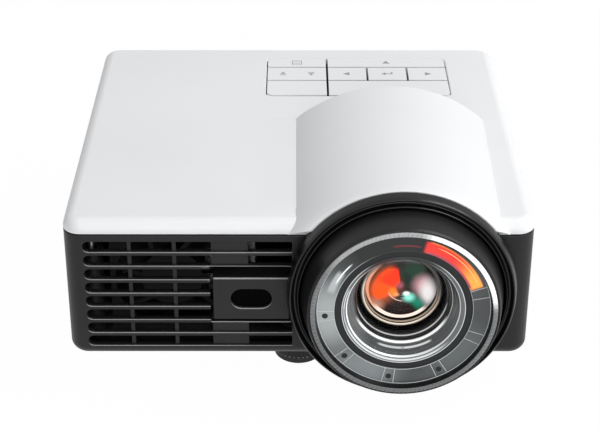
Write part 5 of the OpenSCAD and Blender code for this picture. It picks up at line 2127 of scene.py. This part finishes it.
        profile += [(inner, front + 4), (0, front + 4)]
        shop.fit(self._turn("coated_dome", profile), DOME, "focus_group", "lens_glass", ["inner_lens"])

    def build(self) -> None:
        """Builds the lens from the outside in."""
        self.trim_ring()
        self.barrel_cone()
        self.bright_rim()
        self.front_lens()
        self.inside()


# ---- Keys ----


@dataclass
class KeyPlan:
    """Plan of the keypad on the top."""

    left: float = -8.9
    middle: float = 8.1
    right: float = 41.8
    front: float = 70.9
    rows: tuple[float, float, float] = (10.1, 9.1, 6.6)
    corner: float = 2.0
    key_corner: float = 0.35
    gap: float = 0.3
    proud: float = 0.1

    @property
    def back(self) -> float:
        """Rear side of the opening."""
        return self.front + sum(self.rows)

    def row(self, index: int) -> Flat:
        """Front and rear side of a row."""
        front = self.front + sum(self.rows[:index])
        return front, front + self.rows[index]


class Symbol(Enum):
    """What is printed on a key."""

    NONE = "bare"
    LIST = "list"
    UP = "up"
    DOWN = "down"
    LEFT = "left"
    RIGHT = "right"
    ENTER = "enter"


@dataclass(frozen=True)
class Key:
    """One key.

    Attributes:
        node: CAD node that it stands for.
        left: Left side.
        right: Right side.
        row: Row, counted from the front.
        round_corners: Which corners take the opening's radius, counter-clockwise from the
            front left one.
        symbol: What is printed on it.
    """

    node: str
    left: float
    right: float
    row: int
    round_corners: tuple[int, ...] = ()
    symbol: Symbol = Symbol.NONE

    @property
    def body(self) -> str:
        """Body that carries it."""
        return self.node + "_body"


@dataclass
class Keypad(SubAssembly):
    """The eight keys, each with its cap, its carried foot and its symbol.

    Attributes:
        plan: Plan of the keypad.
        cap_foot: Level of a cap's underside.
        cap_edge: Radius of a cap's upper edge.
        inlay: How far a symbol reaches into the cap and stands out of it.
    """

    plan: KeyPlan = field(default_factory=KeyPlan)
    cap_foot: float = 34.5
    cap_edge: float = 0.38
    inlay: Flat = (0.08, 0.015)

    def keys(self) -> list[Key]:
        """The keys of the pad, apart from the two-way key.

        Returns:
            The keys.
        """
        plan = self.plan
        step = (plan.right - plan.middle) / 3
        first, second = plan.middle + step, plan.middle + 2 * step
        return [
            Key("source_key", plan.left, plan.middle, 0, (0,)),
            Key("menu_key", plan.left, plan.middle, 2, (3,), Symbol.LIST),
            Key("down_key", plan.middle, plan.right, 0, (1,)),
            Key("up_key", plan.middle, plan.right, 2, (2,), Symbol.UP),
            Key("left_key", plan.middle, first, 1, (), Symbol.LEFT),
            Key("enter_key", first, second, 1, (), Symbol.ENTER),
            Key("right_key", second, plan.right, 1, (), Symbol.RIGHT),
        ]

    def _cap(
        self, name: str, low: Flat, high: Flat, radii: float | Sequence[float], corner_steps: int, node: str
    ) -> Piece:
        """The cap of a key, with softly rounded upper edges, on the foot of its CAD node.

        Args:
            name: Name of the cap.
            low: Lowest corner of its place, gap included.
            high: Highest corner of its place.
            radii: Radius of its corners, one or four.
            corner_steps: Chords in a corner.
            node: The CAD node.

        Returns:
            The cap.
        """
        gap = self.plan.gap
        cap = block(
            Plane.LEVEL, (low[0] + gap, low[1] + gap), (high[0] - gap, high[1] - gap), radii,
            (self.cap_foot, self.body.top + self.plan.proud), (0, self.cap_edge), steps=5,
            corner_steps=corner_steps,
        ).build(name, self.shop.seat)
        carve(cap, [refined(node, "foot", 0)], Cut.ON)
        return polish(cap)

    def _symbol(self, key: Key) -> Piece | None:
        """The printed symbol of a key, as a thin inlay.

        Args:
            key: The key.

        Returns:
            The inlay, or None for a bare key.
        """
        front, back = self.plan.row(key.row)
        middle = ((key.left + key.right) / 2, (front + back) / 2)
        match key.symbol:
            case Symbol.UP | Symbol.DOWN | Symbol.LEFT | Symbol.RIGHT:
                turn = {Symbol.UP: 90, Symbol.DOWN: -90, Symbol.LEFT: 180, Symbol.RIGHT: 0}[key.symbol]
                return self._inlay([arc((0, 0), 1.25, turn, turn + 240, 2)], middle)
            case Symbol.LIST:
                sides = [self._bar((x - 0.11, -1.5), (x + 0.11, 1.5), 0.05) for x in (-1.3, 1.3)]
                lines = [self._bar((-1.1, y - 0.1), (1.1, y + 0.1), 0.05) for y in (-1.4, -0.5, 0.45, 1.4)]
                return self._inlay(sides + lines, middle)
            case Symbol.ENTER:
                bar, stem = self._bar((-0.9, -0.2), (1.5, 0.2)), self._bar((1.15, -0.2), (1.5, 1.2))
                return self._inlay([bar, stem, arc((-0.9, 0), 0.85, 180, 420, 2)], middle)
            case _:
                return None

    @staticmethod
    def _bar(low: Flat, high: Flat, radius: float = 0.1) -> list[Flat]:
        """Outline of a printed bar with rounded corners."""
        return rounded(low, high, [radius] * 4, steps=2)

    def _inlay(self, outlines: Sequence[Sequence[Flat]], middle: Flat) -> Piece:
        """A thin inlay in a key's face.

        Args:
            outlines: Its outlines about its middle.
            middle: Place of its middle.

        Returns:
            The inlay.
        """
        top = self.body.top + self.plan.proud
        draft = Draft()
        for outline in outlines:
            ring = [(middle[0] + u, middle[1] + v) for u, v in outline]
            draft.skin([[(u, v, z) for u, v in ring] for z in (top - self.inlay[0], top + self.inlay[1])])
        return draft.build("inlay", self.shop.seat)

    def _fit_symbol(self, inlay: Piece, name: str, body: str) -> None:
        """Dresses a symbol and lets it ride with its key."""
        inlay.name = name
        self.shop.fit(polish(inlay), INK, body, "cover")

    def rocker(self) -> None:
        """The two-way key between the menu key and the source key."""
        plan, body = self.plan, "keystone_rocker_body"
        front, back = plan.row(1)
        low, high = (plan.left, front), (plan.middle, back)
        cap = self._cap("tilt_key", low, high, plan.key_corner, 4, "keystone_rocker")
        self.shop.fit(cap, KEY_WHITE, body, "cover", ["keystone_rocker"])
        middle = ((plan.left + plan.middle) / 2, (front + back) / 2)
        up = [arc((-3.9, 0.4), 0.95, 90, 330, 2), self._bar((-4.8, -1.0), (-3.0, -0.6))]
        down = [arc((4.0, -0.2), 0.95, -90, 150, 2), self._bar((3.1, 0.7), (4.9, 1.1))]
        for name, outlines in (("tilt_up_symbol", up), ("tilt_down_symbol", down)):
            self._fit_symbol(self._inlay(outlines, middle), name, body)

    def build(self) -> None:
        """Builds every key."""
        plan = self.plan
        for key in self.keys():
            front, back = plan.row(key.row)
            outer, inner = plan.corner - plan.gap, plan.key_corner
            radii = [outer if i in key.round_corners else inner for i in range(4)]
            cap = self._cap(key.node + "_cap", (key.left, front), (key.right, back), radii, 6, key.node)
            self.shop.fit(cap, KEY_WHITE, key.body, "cover", [key.node])
            inlay = self._symbol(key)
            if inlay:
                self._fit_symbol(inlay, key.node + "_symbol", key.body)
        self.rocker()


# ---- Feet ----


@dataclass
class Feet(SubAssembly):
    """The tilt foot under the front, and the soles of the rear feet."""

    lift: float = 9.5
    sole: float = 1.5
    radius: float = 6.6
    disc: float = 3.5
    depth: float = 16.5
    screw: float = 3.0
    grips: int = 36
    rear: tuple[float, float, float] = (42.0, 93.0, 5.0)

    def wheel(self) -> None:
        """The knurled disc and its screw."""
        seat, low, edge = self.shop.seat, self.sole - self.lift, 0.35
        top, rim, hole, screw_top, groove_r = low + self.disc, self.radius, 1.55, 11.5, 0.34
        profile = [
            (hole, low), (rim - edge, low), (rim, low + edge), (rim, top - edge), (rim - edge, top),
            (self.screw, top), (self.screw, screw_top), (1.0, screw_top), (1.0, low + 2.6), (hole, low + 2.6),
        ]
        disc = upright(profile, (0, self.depth), 144).build("tilt_wheel", seat)
        profile = [(0, low + 0.5), (groove_r, low + 0.8), (groove_r, top + 1), (0, top + 1)]
        groove = upright(profile, (rim + 0.12, 0), 10).build("grooves", ORIGIN)
        groove.data.transform(Matrix.Translation((0, 0, seat.underside)))
        centre = seat.point((0, self.depth, 0))
        turn = (0, 0, 360 / self.grips)
        self.shop.pattern.apply(groove, self.grips, start=(centre.x, centre.y, 0), turn=turn)
        carve(disc, [groove])
        polish(disc)
        self.shop.fit(disc, CASE, "foot_wheel", "foot", ["foot_screw"])

    def soles(self) -> None:
        """The rubber soles, with a rounded lower edge."""
        seat, low, edge, soft = self.shop.seat, -self.lift, 0.5, 0.15
        top, r, plug, plug_top = low + self.sole, self.radius - 0.5, 1.5, low + 3.9
        profile = [(0, low), (r - edge, low), (r, low + edge), (r, top)]
        profile += [(plug, top), (plug, plug_top), (0, plug_top)]
        pad = upright(soften(profile, soft), (0, self.depth)).build("tilt_pad", seat)
        self.shop.fit(polish(pad), RUBBER, "foot_base", "rubber", ["foot_sole"])
        x, y, r = self.rear
        profile = [(0, low), (r - edge, low), (r, low + edge), (r, top), (0, top)]
        pads = upright(soften(profile, soft), (-x, y), 72).build("rear_pads", seat)
        self.shop.pattern.apply(pads, 2, (2 * x, 0, 0), finish=self.shop.finish(RUBBER))
        self.shop.fit(polish(pads), RUBBER, "housing", "rubber", ["rear_soles"])

    def build(self) -> None:
        """Builds the feet."""
        self.wheel()
        self.soles()


# ---- Sockets and screws ----


@dataclass
class RearSockets(SubAssembly):
    """The sockets in the rear panel, with their contacts, and the case screws."""

    places: tuple[float, ...] = (-44.2, -28.0, -5.5, 16.0, 32.5, 45.6)
    heights: tuple[float, ...] = (11.0, 5.6, 6.0, 5.8, 1.9, 5.0)
    base: float = 6.6
    face: float = 104.2
    screw_spots: tuple[Flat, ...] = ((-50.8, 12.0), (50.8, 10.4), (-50.8, 83.0), (50.8, 83.0))
    screw_level: float = 0.2
    seed: int = 7

    def shells(self) -> None:
        """Socket bodies, refined from their CAD nodes."""
        plan = {
            "power_socket": ("power_jack", INNER, "case"),
            "video_socket": ("video_shell", PLATE, "steel"),
            "display_socket": ("display_shell", PLATE, "steel"),
            "data_socket": ("data_shell", PLATE, "steel"),
            "card_socket": ("card_shell", PLATE, "steel"),
            "sound_socket": ("sound_jack", INNER, "case"),
        }
        for node, (name, recipe, slot) in plan.items():
            self.shop.fit(refined(node, name, 0.1), recipe, "housing", slot, [node])

    def contacts(self) -> None:
        """Gold contacts on the tongues of the three wide sockets."""
        rows = []
        for index, count, pitch, tongue in ((1, 9, 1.2, 1.0), (2, 10, 1.7, 1.2), (3, 4, 2.2, 1.8)):
            x = self.places[index] - pitch * (count - 1) / 2
            z = self.base + self.heights[index] / 2 + tongue / 2
            low, high = (x - 0.25, self.face - 8), (x + 0.25, self.face - 1.6)
            levels = (z - 0.02, z + 0.08)
            pin = block(Plane.LEVEL, low, high, 0.05, levels, (0, 0.03), steps=2, corner_steps=2)
            rows.append(self.shop.pattern.apply(pin.build("pin", self.shop.seat), count, (pitch, 0, 0)))
        pins = polish(join("socket_contacts", rows))
        self.shop.fit(pins, GOLD, "housing", "brass")

    def screws(self) -> None:
        """Cross-head screws under the case."""
        radius, edge, head_top, shank, end = 1.9, 0.35, 1.0, 1.0, 30.9
        profile = [(0, 0), (radius - edge, 0), (radius, edge), (radius, head_top)]
        profile += [(shank, head_top), (shank, end), (0, end)]
        head = upright(soften(profile, 0.12), (0, 0), 48).build("screw", ORIGIN)
        bars = [
            block(Plane.LEVEL, (-a, -b), (a, b), 0.1, (-1, 0.6), steps=1, corner_steps=2).build("bar", ORIGIN)
            for a, b in ((1.2, 0.22), (0.22, 1.2))
        ]
        carve(head, bars)
        polish(head)
        spots = [self.shop.seat.point((x, y, self.screw_level)) for x, y in self.screw_spots]
        screws = self.shop.scatter.apply("cross_screws", spots, head, self.seed, self.shop.finish(STEEL))
        self.shop.fit(screws, STEEL, "housing", "steel", ["case_screws"])

    def build(self) -> None:
        """Builds sockets, contacts and screws."""
        self.shells()
        self.contacts()
        self.screws()


# ---- What is carried over ----


@dataclass
class Insides(SubAssembly):
    """CAD nodes inside the housing, which keep their shape and get their finishes."""

    finishes: tuple[tuple[Moulding | Metal | Clear, tuple[str, ...]], ...] = (
        (BOARD, ("main_board", "key_board", "sensor_board", "mirror_chip_board")),
        (CHIP, ("board_chips", "key_switches", "focus_motor")),
        (INNER, ("lens_tube", "key_tray", "fan_frame", "fan_rotor", "engine_housing")),
        (SPEAKER, ("speaker",)),
        (GEAR, ("focus_gear", "focus_pinion")),
        (LED, ("led_modules",)),
        (STEEL, ("focus_bracket",)),
        (ALLOY, ("heat_sink", "chip_heat_sink")),
        (COPPER, ("heat_pipes",)),
        (BRASS, ("tripod_insert", "foot_bush")),
        (GLASS, ("rear_lens",)),
    )

    def build(self) -> None:
        """Gives each node its finish."""
        for recipe, nodes in self.finishes:
            for node in nodes:
                part = bpy.data.objects[node]
                part.data.materials.clear()
                part.data.materials.append(self.shop.finish(recipe))
                LOG.info("%s: finish %s", node, recipe.name)


# ---- Studio ----


@dataclass
class Studio:
    """Camera, lamps, floor and world.

    Attributes:
        place: Place of the camera, in metres.
        pitch: Degrees that it looks down.
        yaw: Degrees that it looks towards +x.
        roll: Degrees that it is rolled.
        focal: Focal length in pixels of the image.
        image_width: Width of the image in pixels.
        sensor: Width of the camera's sensor, in millimetres.
        target: What the lamps point at, in metres.
        floor_half: Half of the floor's side, in metres.
        floor_light: Share of white with which the floor is seen.
        ambient: Strength of the light from all around.
    """

    place: Point = (-0.00072, -0.37567, 0.22977)
    pitch: float = 28.707
    yaw: float = 0.173
    roll: float = 0.110
    focal: float = 1608.5
    image_width: int = 600
    sensor: float = 36.0
    target: Point = (0.0, 0.0, 0.03)
    floor_half: float = 3.0
    floor_light: float = 0.985
    ambient: float = 0.36

    def camera(self) -> None:
        """The camera at the photograph's viewing angle."""
        data = bpy.data.cameras.new("camera")
        data.sensor_width = self.sensor
        data.lens = self.focal / self.image_width * self.sensor
        data.clip_start = 0.01
        made = stand("camera", data)
        pitch, yaw, roll = (math.radians(v) for v in (self.pitch, self.yaw, self.roll))
        ahead = Vector((math.sin(yaw) * math.cos(pitch), math.cos(yaw) * math.cos(pitch), -math.sin(pitch)))
        right = Vector((math.cos(yaw), -math.sin(yaw), 0))
        up = right.cross(ahead)
        level, lean = math.cos(roll), math.sin(roll)
        right, up = level * right + lean * up, -lean * right + level * up
        turn = Matrix((right, up, -ahead)).transposed()
        made.matrix_world = Matrix.Translation(self.place) @ turn.to_4x4()
        bpy.context.scene.camera = made

    def lamp(self, name: str, place: Point, size: Flat, power: float) -> None:
        """A soft rectangular lamp that points at the target.

        Args:
            name: Its name.
            place: Where it hangs, in metres.
            size: Its width and height.
            power: Its power in watts.
        """
        data = bpy.data.lights.new(name, "AREA")
        data.shape = "RECTANGLE"
        data.size, data.size_y = size
        data.energy = power
        made = stand(name, data)
        made.location = place
        made.rotation_euler = (Vector(self.target) - Vector(place)).to_track_quat("-Z", "Y").to_euler()

    def floor(self) -> None:
        """A pale floor that reads white and keeps the object's shadow."""
        mesh, half = bpy.data.meshes.new("floor"), self.floor_half
        corners = [(-half, -half, 0), (half, -half, 0), (half, half, 0), (-half, half, 0)]
        mesh.from_pydata(corners, [], [(0, 1, 2, 3)])
        made = stand("floor", mesh)
        material = bpy.data.materials.new("floor_white")
        material.use_nodes = True
        net = Net(material.node_tree)
        shader = net.tree.nodes["Principled BSDF"]
        net.feed(shader, {"Base Color": (0.9, 0.9, 0.9), "Roughness": 0.9, "Specular IOR Level": 0.1})
        share = net.math("MULTIPLY", self._seen(net), self.floor_light)
        self._swap(net, share, shader, net.node("ShaderNodeEmission"), "Material Output")
        mesh.materials.append(material)

    @staticmethod
    def _seen(net: Net) -> Socket:
        """Adds up the camera, glossy and transmission rays.

        Args:
            net: The tree.

        Returns:
            The sum, at most 1.
        """
        path = net.node("ShaderNodeLightPath")
        total = path.outputs["Is Camera Ray"]
        for label in ("Is Glossy Ray", "Is Transmission Ray"):
            total = net.math("ADD", total, path.outputs[label], clamp=True)
        return total

    @staticmethod
    def _swap(net: Net, share: Feed, plain: Node, seen: Node, output: str) -> None:
        """Mixes two shaders into the output of a tree.

        Args:
            net: The tree.
            share: Share of the second shader.
            plain: The first shader.
            seen: The second shader.
            output: Name of the output node.
        """
        mix = net.node("ShaderNodeMixShader", share, plain.outputs[0], seen.outputs[0])
        net.feed(net.tree.nodes[output], {"Surface": mix.outputs[0]})

    def world(self) -> None:
        """A white surrounding that lights the object at a plain level."""
        world = bpy.data.worlds.new("studio")
        bpy.context.scene.world = world
        world.use_nodes = True
        net, white = Net(world.node_tree), (1, 1, 1)
        dim = net.feed(net.tree.nodes["Background"], {"Color": white, "Strength": self.ambient})
        full = net.node("ShaderNodeBackground", Color=white)
        self._swap(net, self._seen(net), dim, full, "World Output")

    def build(self) -> None:
        """Sets up the studio."""
        self.camera()
        self.floor()
        self.world()
        self.lamp("key_lamp", (0.62, -0.1, 0.85), (0.6, 0.6), 8.1)
        self.lamp("front_lamp", (0.15, -1.0, 0.3), (0.9, 0.3), 4.0)
        bpy.context.scene.view_settings.view_transform = "Standard"


def seat_from_frame() -> Seat:
    """The seat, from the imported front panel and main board.

    Returns:
        Place of the housing's frame.
    """
    board_z = 5.0
    return Seat(front=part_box("front_panel")[0].y, underside=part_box("main_board")[0].z - board_z * MM)


def main() -> None:
    """Builds the classes in order."""
    logging.basicConfig(level=logging.INFO, format="%(message)s")
    Studio().build()
    body = Body()
    shop = Workshop(seat_from_frame(), body)
    for kind in (TopCover, DarkCase, LensHead, Keypad, Feet, RearSockets, Insides):
        LOG.info("building %s", kind.__name__)
        kind(shop, body).build()


if __name__ == "__main__":
    main()
